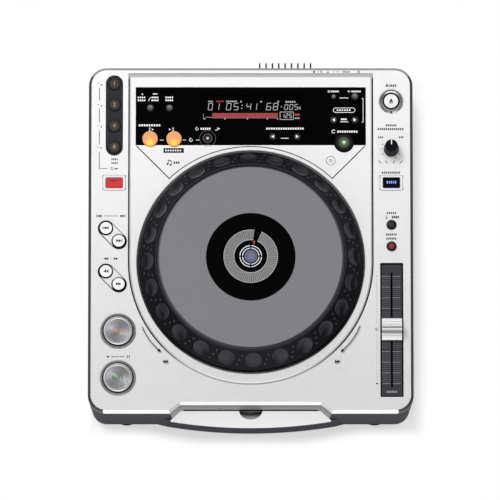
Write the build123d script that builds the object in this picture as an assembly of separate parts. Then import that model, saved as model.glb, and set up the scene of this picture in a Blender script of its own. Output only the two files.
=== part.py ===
from build123d import *
import math
import os

# A tabletop disc player for DJs.  The disc goes in through a slot in the front, a large jog wheel
# stands on the deck, and a display, push buttons, a tempo fader and a small knob lie around it.
# Millimetres.  +Z is up, -Y is the side that faces the user, +X is the user's right.
# The origin is on the table, at the centre of the whole outline.
# The plan is built up from the jog wheel outwards: ring, deck, strips of controls, display, edges.

# ---------------------------------------------------------------- plan
jog_radius = 104.4
front_border = 39.1  # from the front edge of the case to the jog ring
deck_border = 9.6  # from the jog ring to the side of the centre deck
deck_front_border = 11.6  # from the jog ring to the front of the centre deck
strip_width = 38.5  # from the side of the centre deck to the side of the case
window_gap = 7.8  # from the jog ring to the display window
window_depth = 55.8
window_margin_rear = 19.5  # from the display window to the rear edge of the case
jack_reach = 7.4  # the rear sockets stand out behind the case
lip_reach = 6.0  # the disc lip stands out in front of the case

# ---------------------------------------------------------------- case
corner_radius = 17.0
case_wall = 2.5
case_draft = 3.0  # the lower case is this much smaller all round at its foot
foot_height = 8.0
lower_case_height = 68.0
top_case_height = 6.8
strip_thickness = 3.0
edge_bevel = 2.6
fit_gap = 0.15  # between two fixed pieces that drop into each other
play_gap = 0.35  # round a piece that moves in a hole
running_gap = 0.08  # round a shaft, a pin or a rail
clear_gap = 0.3  # between two pieces that must never touch

# ---------------------------------------------------------------- centre deck
deck_margin_rear = 6.8  # from the rear edge of the case
deck_rise = 2.0
deck_seat_depth = 1.0
deck_groove = 1.3
deck_bevel = 1.2
deck_rear_slope = 2.9

# ---------------------------------------------------------------- jog wheel
jog_ring_gap = 1.1
jog_opening_bevel = 1.9
jog_rise = 23.0  # top of the touch plate above the deck
jog_skirt_height = 6.0
jog_skirt_lift = 0.7  # under the skirt, above the hub's flange
jog_skirt_edge = 0.8
jog_cone_run = 14.4  # from the skirt in to the lip
jog_cone_height = 15.0
jog_lip_width = 2.2
jog_lip_rise = 0.5
jog_ring_wall = 3.3
dimple_count = 24
dimple_radius = 8.6
dimple_depth = 2.0
dimple_turn = 1.4  # degrees, anticlockwise
touch_edge_gap = 1.8  # from the lip to the touch plate
touch_plate_thickness = 2.5
touch_plate_edge = 0.6
touch_travel = 0.4
touch_gap = 0.5
centre_window_radius = 41.8
centre_window_sink = 0.05
window_fit = 0.1
platter_thickness = 3.0
platter_seat = 0.1
post_radius = 30.0
post_wall = 5.0
sleeve_wall = 3.5
hub_flange_thickness = 1.5
case_jog_shelf = 8.0  # the top case reaches this far under the jog ring
centre_display_margin = 2.0
centre_display_thickness = 2.0

# ---------------------------------------------------------------- jog gearing
gear_module = 1.0
jog_gear_teeth = 96
encoder_teeth = 24
gear_face = 5.0
gear_lift = 1.2  # under the gear, above the hub's flange
gear_backlash = 0.25
encoder_angle = 215.0
encoder_disc_radius = 20.0
encoder_disc_thickness = 1.0
encoder_disc_lift = 2.0
encoder_slots = 24
encoder_slot = (3.0, 1.2)
encoder_hub_radius = 6.0
encoder_pin_radius = 2.0
encoder_pin_spare = 4.5  # the pin stands this far out of the pinion

# ---------------------------------------------------------------- display
window_side_margin = 5.8  # from the side of the centre deck
window_thickness = 2.0
wing_gap = 6.6  # from the jog ring to the panel's arc
wing_slope = 1.029  # how fast the wing's edge runs forward as it runs inward
display_screen = (96.0, 30.0)  # the lit screen, across and front to back
display_screen_at = (2.5, 21.5)  # its middle: across, and forward from the rear edge of the window
display_opening_margin_side = 4.2
display_opening_margin_rear = 3.3
display_opening_margin_front = 10.5  # the hole runs on this far under the panel in front of the window
glass_height = 5.7
glass_leg = (2.0, 16.0)
glass_leg_inset = 4.0
# Columns are measured from the nearer side of the window, rows from its rear or front edge.
mode_column = 13.5
text_column = 31.6
loop_out_column = 36.0
reloop_column = 67.6
folder_back_column = 87.6
folder_next_column = 64.4
recall_back_column = 30.2
recall_next_column = 10.2
return_column = 20.5
mode_row_rear = 20.2
memory_row_rear = 9.1
call_row_rear = 31.6
loop_row_front = 5.9
reloop_row_front = 6.3
folder_row_front = 8.1
return_row_front = 2.3
round_key = (3.2, 1.0)  # radius, and rise above the window
delete_key = (2.1, 0.6)
pick_key = (7.2, 2.2)
reloop_key = (5.2, 1.6)
return_key = (7.6, 1.8)
return_well_radius = 9.5
return_well_rise = 0.9
return_well_edge = 0.5

# ---------------------------------------------------------------- controls
left_column_offset = 14.4  # from the side of the centre deck
right_column_offset = 18.2
large_column_offset = 10.3
flange_reach = 1.2
flange_thickness = 1.2
flange_drop = 0.1  # a button's flange stops this far under its panel
stem_radius = 2.0
stem_gap = 0.2
cap_edge = 0.6
small_travel = 0.8
large_travel = 1.5
loop_count = 4
loop_pitch = 20.4
loop_first_margin = 15.6  # rear edge of the case to the first loop button
loop_button_radius = 6.0
loop_button_rise = 0.9
loop_plate_width = 16.0
loop_plate_length = 77.4
loop_plate_thickness = 2.0
loop_plate_sink = 0.5
loop_plate_ledge = 1.2
oblong_button = (15.8, 9.8)
oblong_corner = 1.0
oblong_frame = (21.6, 14.9)
oblong_frame_corner = 2.2
oblong_margin_rear = 111.2
oblong_rise = 1.8
frame_rise = 0.5
frame_edge = 0.3
search_button_radius = 5.9
search_bezel_radius = 7.7
search_well_radius = 6.9
search_outer_margin = 16.6  # from the side of the case
search_inner_offset = 9.9  # from the side of the centre deck
search_step = 12.3  # from the first button of a pair forward to the second
search_above_cue = 56.9
track_above_search = 41.4
search_rise = 2.6
bezel_rise = 0.8
bezel_edge = 0.5
large_button_radius = 13.4
large_button_rim = 1.6
large_button_edge = 0.8
large_button_dish = 0.7
large_ring_radius = 16.8
large_ring_width = 2.4
large_ring_rise = 1.6
ring_land = 0.3  # height of the flat land inside a ring
cue_from_front = 77.6
play_from_front = 32.9
large_rise = 3.6
eject_margin_rear = 32.5
eject_button_radius = 6.6
eject_ring_radius = 11.7
eject_ring_width = 3.4
eject_ring_rise = 1.6
eject_rise = 1.6
knob_margin_rear = 78.9
knob_radius = 7.2
knob_skirt_height = 1.5
knob_top_radius = 5.9
knob_top_edge = 0.8
knob_height = 16.5
knob_lift = 0.6
knob_flutes = 16
knob_flute_radius = 0.7
knob_flute_offset = 0.25
knob_pointer = (1.0, 0.5, 1.0)  # width, depth, and where it starts from the middle
knob_shaft_radius = 3.0
knob_control = (10.0, 12.0, 2.0)  # the control's width and depth, and how far it stays under a switch
dot_button_radius = 4.5
dot_rise = 1.8
master_above_fader = 15.95  # from the rear end of the fader plate
range_above_master = 20.7

# ---------------------------------------------------------------- tempo fader
fader_plate_size = (21.4, 127.9)
fader_margin_front = 14.85  # from the front edge of the case to the plate
fader_plate_corner = 1.0
fader_plate_thickness = 2.0
fader_plate_sink = 0.6
fader_plate_ledge = 3.0
fader_slit = (1.8, 110.0)
fader_lever = (1.2, 5.0)
fader_lever_fit = 0.02
fader_cap_size = (18.8, 20.6)
fader_cap_height = 13.0
fader_cap_float = 0.5
fader_cap_end_height = 4.6
fader_cap_end_edge = 0.8
fader_ridge_width = 6.6
fader_ridge_edge = 0.7
fader_ridge_foot = 1.3  # how far the ridge's flank spreads at its foot
fader_plateau_rise = 0.8
fader_groove = (0.6, 0.6)  # the line on the ridge: width and depth
fader_end_groove = (0.5, 0.4)
fader_end_groove_at = 3.6
fader_lever_cover = 3.0  # cap left above the lever
fader_track_size = (13.0, 120.0, 9.0)
fader_track_sheet = 1.0
fader_track_slot = (3.0, 4.0)  # its width, and what is left at each end
fader_shoe_length = 10.0

# ---------------------------------------------------------------- disc slot and lip
slot_half_width = 63.0
slot_height = 7.0
slot_floor = 50.5
slot_side_margin = 2.7  # from the slot to the corner of the hollow
recess_flare = 9.8
recess_depth = 7.5
recess_corner_growth = 1.2
bezel_wall = 2.5
bezel_reach_back = 8.0
lip_side_reach = 3.5  # the lip runs on past the mouth of the hollow
lip_radius = 470.0
lip_fall = 13.5  # height lost from the slot to the front of the lip
lip_lap = 1.0
scoop_radius = 11.2
scoop_lift = 2.0
pin_hole_radius = 0.9
pin_hole_column = -28.0
pin_hole_rise = 6.5  # above the slot
bumper_side_reach = 9.0

# ---------------------------------------------------------------- feet, posts and boards
foot_radius = 14.0
foot_hollow = (4.0, 2.5)  # radius and depth
foot_taper = (1.5, 0.5, 1.0)  # how much the foot narrows at the table, above it, and how high that is
foot_inset_x = 35.5
foot_inset_y = 16.6
post_inset = 8.0
post_inset_y = 17.0
case_post_radius = 3.5
screw_radius = 1.5
screw_head_radius = 2.8
screw_head_height = 2.0
screw_length = 22.0
screw_hole_spare = 0.2
screw_cross = (3.6, 0.7, 1.0)  # length, width and depth
plate_thickness = 1.2
plate_inset = 1.0
board_thickness = 1.6
board_lift = 6.0
board_hole_inset = 6.0
panel_board_drop = 15.8  # from the underside of the strips
panel_board_inset = 13.0
panel_board_rear = 12.0
panel_board_front = 22.0
panel_board_gap = 1.0
panel_board_lap = 2.0
display_board_inset = 3.0
display_board_front = 8.5
display_board_rear = 5.0
display_standoff_columns = (47.2, 45.2)
display_standoff_row = 15.0
strip_standoff_offset = 5.5
switch_size = (6.0, 6.0, 4.0)
standoff_radius = 2.5
main_board_inset = 16.5  # from the side of the case
main_board_margins = (8.0, 18.0)  # behind the drive, and from the rear edge of the case
boards_gap = 6.0
power_board_inset = 14.5
power_board_width = 74.0
power_board_margin_rear = 26.0
# Each chip or connector: from the board's left and front edges, its width, depth and height.
main_board_parts = (
    (36.0, 40.0, 24.0, 24.0, 2.2),
    (78.0, 62.0, 18.0, 18.0, 2.0),
    (84.0, 22.0, 14.0, 22.0, 2.4),
    (120.0, 50.0, 20.0, 14.0, 2.2),
    (158.0, 26.0, 16.0, 16.0, 2.0),
    (166.0, 78.0, 34.0, 7.0, 9.0),
    (28.0, 84.0, 40.0, 7.0, 9.0),
)
transformer = (28.0, 34.0, 40.0, 40.0, 30.0)
transformer_core = (28.0, 34.0, 32.0, 20.0, 4.0)
fuse_holder = (43.0, 69.0, 22.0, 6.0, 7.0)
# Each capacitor: from the board's left and front edges, its radius and height.
power_capacitors = ((60.0, 24.0, 8.0, 26.0), (60.0, 44.0, 6.0, 20.0), (16.0, 68.0, 5.0, 16.0))

# ---------------------------------------------------------------- rear
rear_opening_margin = 34.5  # from each side of the case
rear_opening_height = 44.0
rear_opening_floor = 20.0
rear_panel_overlap = 4.0
rear_seat = 0.2  # between the case wall and the rear panel
rca_radius = 4.15
rca_hole_gap = 0.3
rca_flange = (6.5, 1.5)
rca_bore = (1.6, 9.0)
rca_body = (12.0, 14.0, 12.0)
rca_body_lap = 8.0
rca_columns = (14.0, 32.0, 60.0)  # from the left end of the opening
socket_height = 44.0
mini_jack_column = 88.0
mini_jack_radius = 4.0
mini_jack_nose = 3.0
mini_jack_bore = 1.8
mini_jack_depth = 12.0
mini_jack_body = (12.0, 14.0, 10.0)
inlet_column = 22.0  # from the right end of the opening
inlet_height = 34.0
inlet_size = (28.0, 18.0, 20.0)
inlet_rim = 1.0
inlet_cavity = (20.0, 10.0, 11.0)
inlet_pin_spacing = 8.6
inlet_pin_radius = 1.2
inlet_pin_root = 2.0
power_column = 32.7
power_height = 56.0
power_button_size = (10.0, 7.0)
power_reach = 5.0
power_travel = 3.0
power_plunger = (2.0, 4.0)
power_switch_size = (18.0, 13.0, 14.0)
power_switch_wall = (1.8, 1.1)
fin_middle_column = 85.5
fin_count = 9
fin_pitch = 6.0
fin_thickness = 1.4
fin_reach = 6.4
fin_bottom = 30.0
fin_top = 74.0
fin_root = (3.0, 2.0)  # the comb's back runs on this far past the fins, and its thickness

# ---------------------------------------------------------------- disc drive
drive_side_gap = 11.0  # from the slot's end to the frame's side
drive_from_front = 14.0
drive_floor_drop = 20.5  # under the slot
drive_roof_rise = 3.0  # over the slot
drive_sheet = 1.2
drive_mount_inset = (8.0, 14.0, 10.0)  # from the side, the front and the rear
drive_mount_radius = 4.0
spindle_from_front = 86.0
turntable_radius = 14.0
turntable_rise = 1.5  # over the slot's floor
turntable_depth = 3.5
turntable_rim = 1.5
turntable_foot = 3.0
spindle_cone_radius = 7.3
spindle_cone_height = 2.2
spindle_cone_taper = (0.4, 2.5)
spindle_shaft_radius = 1.5
spindle_shaft_reach = 3.5
disc_thickness = 1.2
motor_radius = 12.0
motor_boss = (4.0, 4.0)
motor_drop = 6.0
motor_hole_gap = 1.0
clamper_radius = 15.5
clamper_thickness = 4.5
clamper_float = 1.6
clamper_hollow = 1.0
clamper_hang = 2.0
clamper_rim = 1.2
roller_radius = 5.0
roller_waist = 0.8
roller_end_margin = 3.0
roller_shaft_radius = 2.0
roller_shaft_reach = (2.0, 4.0)
roller_gear = (6.0, 1.0)
roller_from_front = 19.5
roller_drop = 0.6  # the roller stays this far under the slot floor until a disc comes
rail_radius = 1.5
rail_rise = 10.0
rail_half_spacing = 17.0
rail_seat = 4.0
rail_end = 8.0
sled_half_width = 21.0
sled_length = 28.0
sled_travel = 33.0
sled_start = 2.5
sled_lift = 2.0
sled_drop = 5.0
sled_fork = (5.2, 1.0)
lens_radius = 3.0
lens_height = 2.5
lens_at = 10.0

# ---------------------------------------------------------------- places worked out from the sizes
deck_half_width = jog_radius + deck_border
half_width = deck_half_width + strip_width
case_width = 2 * half_width
case_depth = front_border + 2 * jog_radius + window_gap + window_depth + window_margin_rear
total_depth = case_depth + lip_reach + jack_reach
case_rear = total_depth / 2 - jack_reach
case_front = -total_depth / 2 + lip_reach
case_middle = (case_rear + case_front) / 2
seam_z = foot_height + lower_case_height
strip_z = seam_z + top_case_height
strip_under = strip_z - strip_thickness
deck_z = strip_z + deck_rise
deck_under = strip_z - deck_seat_depth
deck_rear = case_rear - deck_margin_rear
floor_z = foot_height + case_wall
left_column = deck_half_width + left_column_offset
right_column = deck_half_width + right_column_offset
large_column = deck_half_width + large_column_offset

jog_y = case_front + front_border + jog_radius
jog_top = deck_z + jog_rise
jog_lip_radius = jog_radius - jog_cone_run
touch_plate_radius = jog_lip_radius - jog_lip_width - touch_edge_gap
jog_ring_bottom = deck_under + hub_flange_thickness + jog_skirt_lift
jog_shoulder = deck_z + jog_skirt_height
jog_ring_top = jog_shoulder + jog_cone_height
touch_under = jog_top - touch_plate_thickness
platter_top = touch_under - touch_gap
hub_top = touch_under - touch_travel - clear_gap
gear_bottom = deck_under + hub_flange_thickness + gear_lift
encoder_distance = gear_module * (jog_gear_teeth + encoder_teeth) / 2
encoder_x = encoder_distance * math.cos(math.radians(encoder_angle))
encoder_y = jog_y + encoder_distance * math.sin(math.radians(encoder_angle))

window_half_width = deck_half_width - window_side_margin
window_rear = case_rear - window_margin_rear
window_front = window_rear - window_depth
window_under = deck_z - window_thickness
wing_radius = jog_radius + wing_gap
display_opening_half_width = window_half_width - display_opening_margin_side

panel_board_height = strip_under - panel_board_drop
board_top = panel_board_height + board_thickness
switch_top = board_top + switch_size[2]

recess_half_width = slot_half_width + slot_side_margin
lip_half_width = recess_half_width + recess_flare + lip_side_reach
bumper_half_width = lip_half_width + bumper_side_reach
recess_back = case_front + recess_depth
lip_front = -total_depth / 2
lip_root = slot_floor - lip_fall - lip_lap
slot_top = slot_floor + slot_height
fader_y = case_front + fader_margin_front + fader_plate_size[1] / 2
fader_plate_rear = fader_y + fader_plate_size[1] / 2
fader_cap_top = strip_z + fader_cap_height

rear_opening_width = case_width - 2 * rear_opening_margin
rear_panel_face = case_rear - case_wall - case_draft - rear_seat
rear_panel_back = rear_panel_face - plate_thickness
rear_opening_roof = rear_opening_floor + rear_opening_height
rca_positions = tuple(column - rear_opening_width / 2 for column in rca_columns)
mini_jack_x = mini_jack_column - rear_opening_width / 2
inlet_x = rear_opening_width / 2 - inlet_column
power_x = rear_opening_width / 2 - power_column
fin_middle = rear_opening_width / 2 - fin_middle_column

drive_half_width = slot_half_width + drive_side_gap
drive_floor = slot_floor - drive_floor_drop
drive_roof = slot_top + drive_roof_rise
drive_front = case_front + drive_from_front
spindle_y = case_front + spindle_from_front
turntable_z = slot_floor + turntable_rise
rail_start = spindle_y + motor_radius + motor_hole_gap
rail_finish = rail_start + sled_length + sled_travel + rail_end
rail_z = drive_floor + rail_rise
drive_rear = rail_finish + rail_seat / 2
roller_y = case_front + roller_from_front
roller_z = slot_floor - roller_drop - roller_radius


# ---------------------------------------------------------------- helpers
def block(x0, x1, y0, y1, z0, z1):
    """A box given by its two corners."""
    middle = Pos((x0 + x1) / 2, (y0 + y1) / 2, (z0 + z1) / 2)
    return middle * Box(x1 - x0, y1 - y0, z1 - z0)


def brick(x, y, width, depth, z0, z1):
    """A box given by its middle and size in plan, and its two heights."""
    return block(x - width / 2, x + width / 2, y - depth / 2, y + depth / 2, z0, z1)


def rod(radius, z0, z1, x=0.0, y=0.0):
    """A round bar along Z."""
    return Pos(x, y, (z0 + z1) / 2) * Cylinder(radius, z1 - z0)


def rod_y(radius, y0, y1, x, z):
    """A round bar along Y."""
    return Pos(x, (y0 + y1) / 2, z) * Rot(90, 0, 0) * Cylinder(radius, y1 - y0)


def rod_x(radius, x0, x1, y, z):
    """A round bar along X."""
    return Pos((x0 + x1) / 2, y, z) * Rot(0, 90, 0) * Cylinder(radius, x1 - x0)


def slab(sketch, z0, z1):
    """A flat outline made solid between two heights."""
    return extrude(Pos(0, 0, z0) * sketch, z1 - z0, dir=(0, 0, 1))


def slab_y(sketch, x, z, y0, y1):
    """An outline in the XZ plane made solid along Y."""
    return extrude(Plane((x, y1, z), x_dir=(1, 0, 0), z_dir=(0, -1, 0)) * sketch, y1 - y0, dir=(0, -1, 0))


def turned(points, x=0.0, y=0.0):
    """A solid of revolution about Z, from points given as radius and height."""
    return Pos(x, y, 0) * revolve(Plane.XZ * Polygon(*points, align=None), Axis.Z)


def prism_x(points, x0, x1):
    """A solid along X whose section is given as Y and Z."""
    return extrude(Plane.YZ.offset(x0) * Polygon(*points, align=None), x1 - x0, dir=(1, 0, 0))


def top_edges(solid):
    """The edges round the highest face."""
    return solid.faces().sort_by(Axis.Z)[-1].edges()


def soften_top(solid, size):
    """Rounds the rim of the highest face."""
    return fillet(top_edges(solid), size)


def write(name, *shapes):
    """Writes one node, made of one solid or of several separate ones."""
    solids = [s for shape in shapes for s in shape.solids()]
    for solid in solids:
        solid.label = name
    export_step(solids[0] if len(solids) == 1 else Compound(children=solids), f"parts/{name}.step")


past = 1.0  # a cutter runs on this far past what it cuts


# ---------------------------------------------------------------- outlines that several pieces share
def case_outline(shrink):
    """The plan of the case, smaller by shrink on every side."""
    plan = RectangleRounded(case_width - 2 * shrink, case_depth - 2 * shrink, corner_radius - shrink)
    return Pos(0, case_middle) * plan


def deck_outline(grow):
    """The U of the centre deck: straight sides, and a curve round the jog wheel."""
    half = deck_half_width + grow
    rear = deck_rear + grow
    straight = Pos(0, (jog_y + rear) / 2) * Rectangle(2 * half, rear - jog_y)
    return straight + Pos(0, jog_y) * Ellipse(half, jog_radius + deck_front_border + grow)


def wing_outline(shrink):
    """The display panel: the window's rectangle with a wing that runs down to the jog wheel."""
    half = window_half_width - shrink
    tip_y = window_front - half * wing_slope
    body = Polygon(
        (-half, window_rear - shrink),
        (half, window_rear - shrink),
        (half, window_front),
        (0, tip_y),
        (-half, window_front),
        align=None,
    )
    return body - Pos(0, jog_y) * Circle(wing_radius + shrink)


def recess_outline(grow):
    """The hollow in the front edge of the case, over the lip."""
    side = recess_half_width + grow * recess_corner_growth
    mouth = side + recess_flare * (recess_back - lip_front) / recess_depth
    back = recess_back + grow
    return Polygon((-mouth, lip_front), (-side, back), (side, back), (mouth, lip_front), align=None)


def arc_fall():
    """How far the ends of the lip's arc lie behind its middle."""
    return lip_radius - math.sqrt(lip_radius**2 - lip_half_width**2)


def lip_outline():
    """The plan of the lip and the bumper under it: a wide flat arc in front, square behind."""
    half = lip_half_width
    ends = lip_front + arc_fall()
    arc = ThreePointArc((-half, ends), (0, lip_front), (half, ends))
    sides = Polyline((half, ends), (half, recess_back), (-half, recess_back), (-half, ends))
    return make_face(arc + sides)


def below_ramp():
    """All the space under the sloping top of the lip."""
    slope = lip_fall / (recess_back - lip_front)
    front = lip_front - past
    low = slot_floor - slope * (recess_back - front)
    points = ((recess_back, slot_floor), (front, low), (front, 0), (recess_back, 0))
    return prism_x(points, -half_width, half_width)


# ---------------------------------------------------------------- buttons
# Each row: x, y, radius, and the rise of the piece that is pressed.
def loop_button_place(number):
    """The loop buttons stand in a row, one pitch apart."""
    return -left_column, case_rear - loop_first_margin - number * loop_pitch


search_outer = search_outer_margin - half_width
search_inner = -deck_half_width - search_inner_offset
cue_y = case_front + cue_from_front
play_y = case_front + play_from_front
search_y = cue_y + search_above_cue
track_y = search_y + track_above_search
oblong_y = case_rear - oblong_margin_rear
eject_y = case_rear - eject_margin_rear
knob_y = case_rear - knob_margin_rear
master_y = fader_plate_rear + master_above_fader
range_y = master_y + range_above_master
window_left = -window_half_width
window_right = window_half_width

strip_round = {
    "track_back_button": (search_outer, track_y, search_button_radius, search_rise),
    "track_next_button": (search_inner, track_y - search_step, search_button_radius, search_rise),
    "search_back_button": (search_outer, search_y, search_button_radius, search_rise),
    "search_forward_button": (search_inner, search_y - search_step, search_button_radius, search_rise),
    "eject_button": (right_column, eject_y, eject_button_radius, eject_rise),
    "tempo_range_button": (right_column, range_y, dot_button_radius, dot_rise),
    "master_tempo_button": (right_column, master_y, dot_button_radius, dot_rise),
}
large_round = {
    "cue_button": (-large_column, cue_y),
    "play_button": (-large_column, play_y),
}
oblong = {
    "reverse_button": (-left_column, oblong_y),
    "jog_mode_button": (right_column, oblong_y),
}
display_round = {
    "time_mode_button": (window_left + mode_column, window_rear - mode_row_rear, *round_key),
    "text_mode_button": (window_left + text_column, window_rear - mode_row_rear, *round_key),
    "loop_in_button": (window_left + mode_column, window_front + loop_row_front, *pick_key),
    "loop_out_button": (window_left + loop_out_column, window_front + loop_row_front, *pick_key),
    "reloop_button": (window_left + reloop_column, window_front + reloop_row_front, *reloop_key),
    "folder_back_button": (window_right - folder_back_column, window_front + folder_row_front, *round_key),
    "folder_next_button": (window_right - folder_next_column, window_front + folder_row_front, *round_key),
    "delete_button": (window_right - recall_back_column, window_rear - memory_row_rear, *delete_key),
    "memory_button": (window_right - recall_next_column, window_rear - memory_row_rear, *round_key),
    "call_back_button": (window_right - recall_back_column, window_rear - call_row_rear, *round_key),
    "call_next_button": (window_right - recall_next_column, window_rear - call_row_rear, *round_key),
    "quick_return_button": (window_right - return_column, window_front + return_row_front, *return_key),
}


def push_button(cap, flange, x, y, under, travel):
    """A cap through its panel, a flange under the panel and a stem down to the switch."""
    stem = rod(stem_radius, switch_top + travel + stem_gap, under - flange_drop - flange_thickness, x, y)
    return cap + flange + stem


def round_button(x, y, radius, top, under, travel):
    """A round push button with a softened rim."""
    low = under - flange_drop - flange_thickness
    cap = soften_top(rod(radius, low, top, x, y), min(cap_edge, radius / 4))
    flange = rod(radius + flange_reach, low, under - flange_drop, x, y)
    return push_button(cap, flange, x, y, under, travel)


def large_button(x, y):
    """A start or cue button: a dished metal cap with a bright edge."""
    low = strip_under - flange_drop - flange_thickness
    top = strip_z + large_rise
    rim = large_button_radius - large_button_rim
    cap = turned(
        (
            (0, low),
            (large_button_radius, low),
            (large_button_radius, top - large_button_edge),
            (large_button_radius - large_button_edge, top),
            (rim, top),
            (rim - large_button_dish, top - large_button_dish),
            (0, top - large_button_dish),
        ),
        x,
        y,
    )
    flange = rod(large_button_radius + flange_reach, low, strip_under - flange_drop, x, y)
    return push_button(cap, flange, x, y, strip_under, large_travel)


def oblong_plan(x, y, gap):
    """The plan of a rectangular button, or of the hole round it."""
    width, depth = (size + 2 * gap for size in oblong_button)
    return Pos(x, y) * RectangleRounded(width, depth, oblong_corner + gap)


def oblong_key(x, y):
    """A rectangular lit push button."""
    low = strip_under - flange_drop - flange_thickness
    cap = soften_top(slab(oblong_plan(x, y, 0), low, strip_z + oblong_rise), cap_edge)
    flange = slab(oblong_plan(x, y, flange_reach), low, strip_under - flange_drop)
    return push_button(cap, flange, x, y, strip_under, small_travel)


def strip_holes():
    """Everything that the controls cut out of the top case's side strips."""
    low, high = strip_under - past, strip_z + past
    cuts = []
    for name, (x, y, radius, rise) in strip_round.items():
        pair = name.startswith(("track", "search"))
        cuts.append(rod(search_well_radius if pair else radius + play_gap, low, high, x, y))
    for x, y in large_round.values():
        cuts.append(rod(large_button_radius + play_gap, low, high, x, y))
    for x, y in oblong.values():
        cuts.append(slab(oblong_plan(x, y, play_gap), low, high))
    cuts.append(rod(knob_shaft_radius + play_gap, low, high, right_column, knob_y))
    return cuts


# ---------------------------------------------------------------- bezels and rings on the strips
def search_bezel(y):
    """An oblong collar round one pair of search buttons."""
    start = Vector(search_outer, y)
    end = Vector(search_inner, y - search_step)
    middle = (start + end) / 2
    span = (end - start).length
    turn = math.degrees(math.atan2(end.Y - start.Y, end.X - start.X))
    plan = Pos(middle.X, middle.Y) * Rot(0, 0, turn) * SlotCenterToCenter(span, 2 * search_bezel_radius)
    body = chamfer(top_edges(slab(plan, strip_z, strip_z + bezel_rise)), bezel_edge)
    for at in (start, end):
        body -= rod(search_well_radius, strip_z - past, strip_z + bezel_rise + past, at.X, at.Y)
    return body


def round_ring(x, y, radius, width, rise, button_radius):
    """A turned metal ring with a rounded crown, and a flat land that runs in to its button."""
    inner = radius - width
    bore = button_radius + play_gap
    points = (
        (bore, strip_z),
        (radius, strip_z),
        (radius, strip_z + 0.3 * rise),
        (radius - 0.3 * width, strip_z + rise),
        (inner + 0.4 * width, strip_z + rise),
        (inner, strip_z + 0.35 * rise),
        (inner, strip_z + ring_land),
        (bore, strip_z + ring_land),
    )
    return turned(points, x, y)


def oblong_frame_ring(x, y):
    """A thin raised frame round a rectangular button."""
    plan = Pos(x, y) * RectangleRounded(*oblong_frame, oblong_frame_corner)
    outer = chamfer(top_edges(slab(plan, strip_z, strip_z + frame_rise)), frame_edge)
    return outer - slab(oblong_plan(x, y, play_gap), strip_z - past, strip_z + frame_rise + past)


# ---------------------------------------------------------------- case
def tub_filled():
    """The drafted block that the lower case is hollowed from."""
    return loft([Pos(0, 0, foot_height) * case_outline(case_draft), Pos(0, 0, seam_z) * case_outline(0)])


def case_filled():
    """The block that both halves of the case enclose."""
    return tub_filled() + slab(case_outline(0), seam_z, strip_z)


def case_posts():
    """Where the four screw posts stand."""
    x = half_width - post_inset
    return [(sx * x, y) for sx in (-1, 1) for y in (case_front + post_inset_y, case_rear - post_inset_y)]


def bumper():
    """The rubbing block of the tub under the lip, with slanted ends."""
    back = case_front + case_draft + case_wall
    ends = lip_front + arc_fall()
    wing = Polygon(
        (-bumper_half_width, back),
        (-bumper_half_width, case_front + case_draft),
        (-lip_half_width, ends),
        (lip_half_width, ends),
        (bumper_half_width, case_front + case_draft),
        (bumper_half_width, back),
        align=None,
    )
    return slab(wing + lip_outline(), foot_height, slot_floor) & below_ramp()


def lower_case():
    """The tub: drafted walls, a floor, posts for the screws, and the bumper under the lip."""
    hollow = loft(
        [
            Pos(0, 0, floor_z) * case_outline(case_draft + case_wall),
            Pos(0, 0, seam_z + past) * case_outline(case_wall),
        ]
    )
    tub = tub_filled() - hollow + bumper()
    head_radius = screw_head_radius + screw_hole_spare
    head_top = foot_height + screw_head_height + screw_hole_spare
    for x, y in case_posts():
        tub += rod(case_post_radius, foot_height, strip_under, x, y)
        tub -= rod(screw_radius, foot_height - past, foot_height + screw_length, x, y)
        tub -= rod(head_radius, foot_height - past, head_top, x, y)
    tub -= slab(recess_outline(bezel_wall + fit_gap), lip_root - fit_gap, seam_z + past) & case_filled()
    tub -= slab(recess_outline(fit_gap), lip_root - fit_gap, seam_z + past)
    clear = slot_half_width + bezel_wall + fit_gap
    tub -= block(-clear, clear, recess_back, case_front + drive_from_front, lip_root, slot_top + bezel_wall)
    side = rear_opening_width / 2
    wall_front = case_rear - case_wall - case_draft - plate_thickness - rear_seat
    tub -= block(-side, side, wall_front, case_rear + past, rear_opening_floor, rear_opening_roof)
    return tub


def top_case():
    """The silver cover: a bevelled plate with a skirt, and holes for everything on the strips."""
    plan = case_outline(0) - recess_outline(0)
    body = chamfer(top_edges(slab(plan, seam_z, strip_z)), edge_bevel)
    body -= slab(case_outline(case_wall), seam_z - past, strip_under)
    body -= slab(deck_outline(deck_groove), deck_under, strip_z + past)
    body -= rod(jog_radius - case_jog_shelf, strip_under - past, strip_z, 0, jog_y)
    front = window_front - display_opening_margin_front
    rear = window_rear - display_opening_margin_rear
    half = display_opening_half_width
    body -= block(-half, half, front, rear, strip_under - past, strip_z)
    for cut in strip_holes():
        body -= cut
    body -= loop_plate_outline(fit_gap, loop_plate_floor(), strip_z + past)
    body -= loop_plate_outline(-loop_plate_ledge, strip_under - past, strip_z)
    width, length = fader_plate_size
    seat = RectangleRounded(width + 2 * fit_gap, length + 2 * fit_gap, fader_plate_corner + fit_gap)
    hole = Rectangle(width - 2 * fader_plate_ledge, length - 2 * fader_plate_ledge)
    body -= slab(Pos(right_column, fader_y) * seat, fader_plate_floor(), strip_z + past)
    body -= slab(Pos(right_column, fader_y) * hole, strip_under - past, strip_z)
    return body


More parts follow.
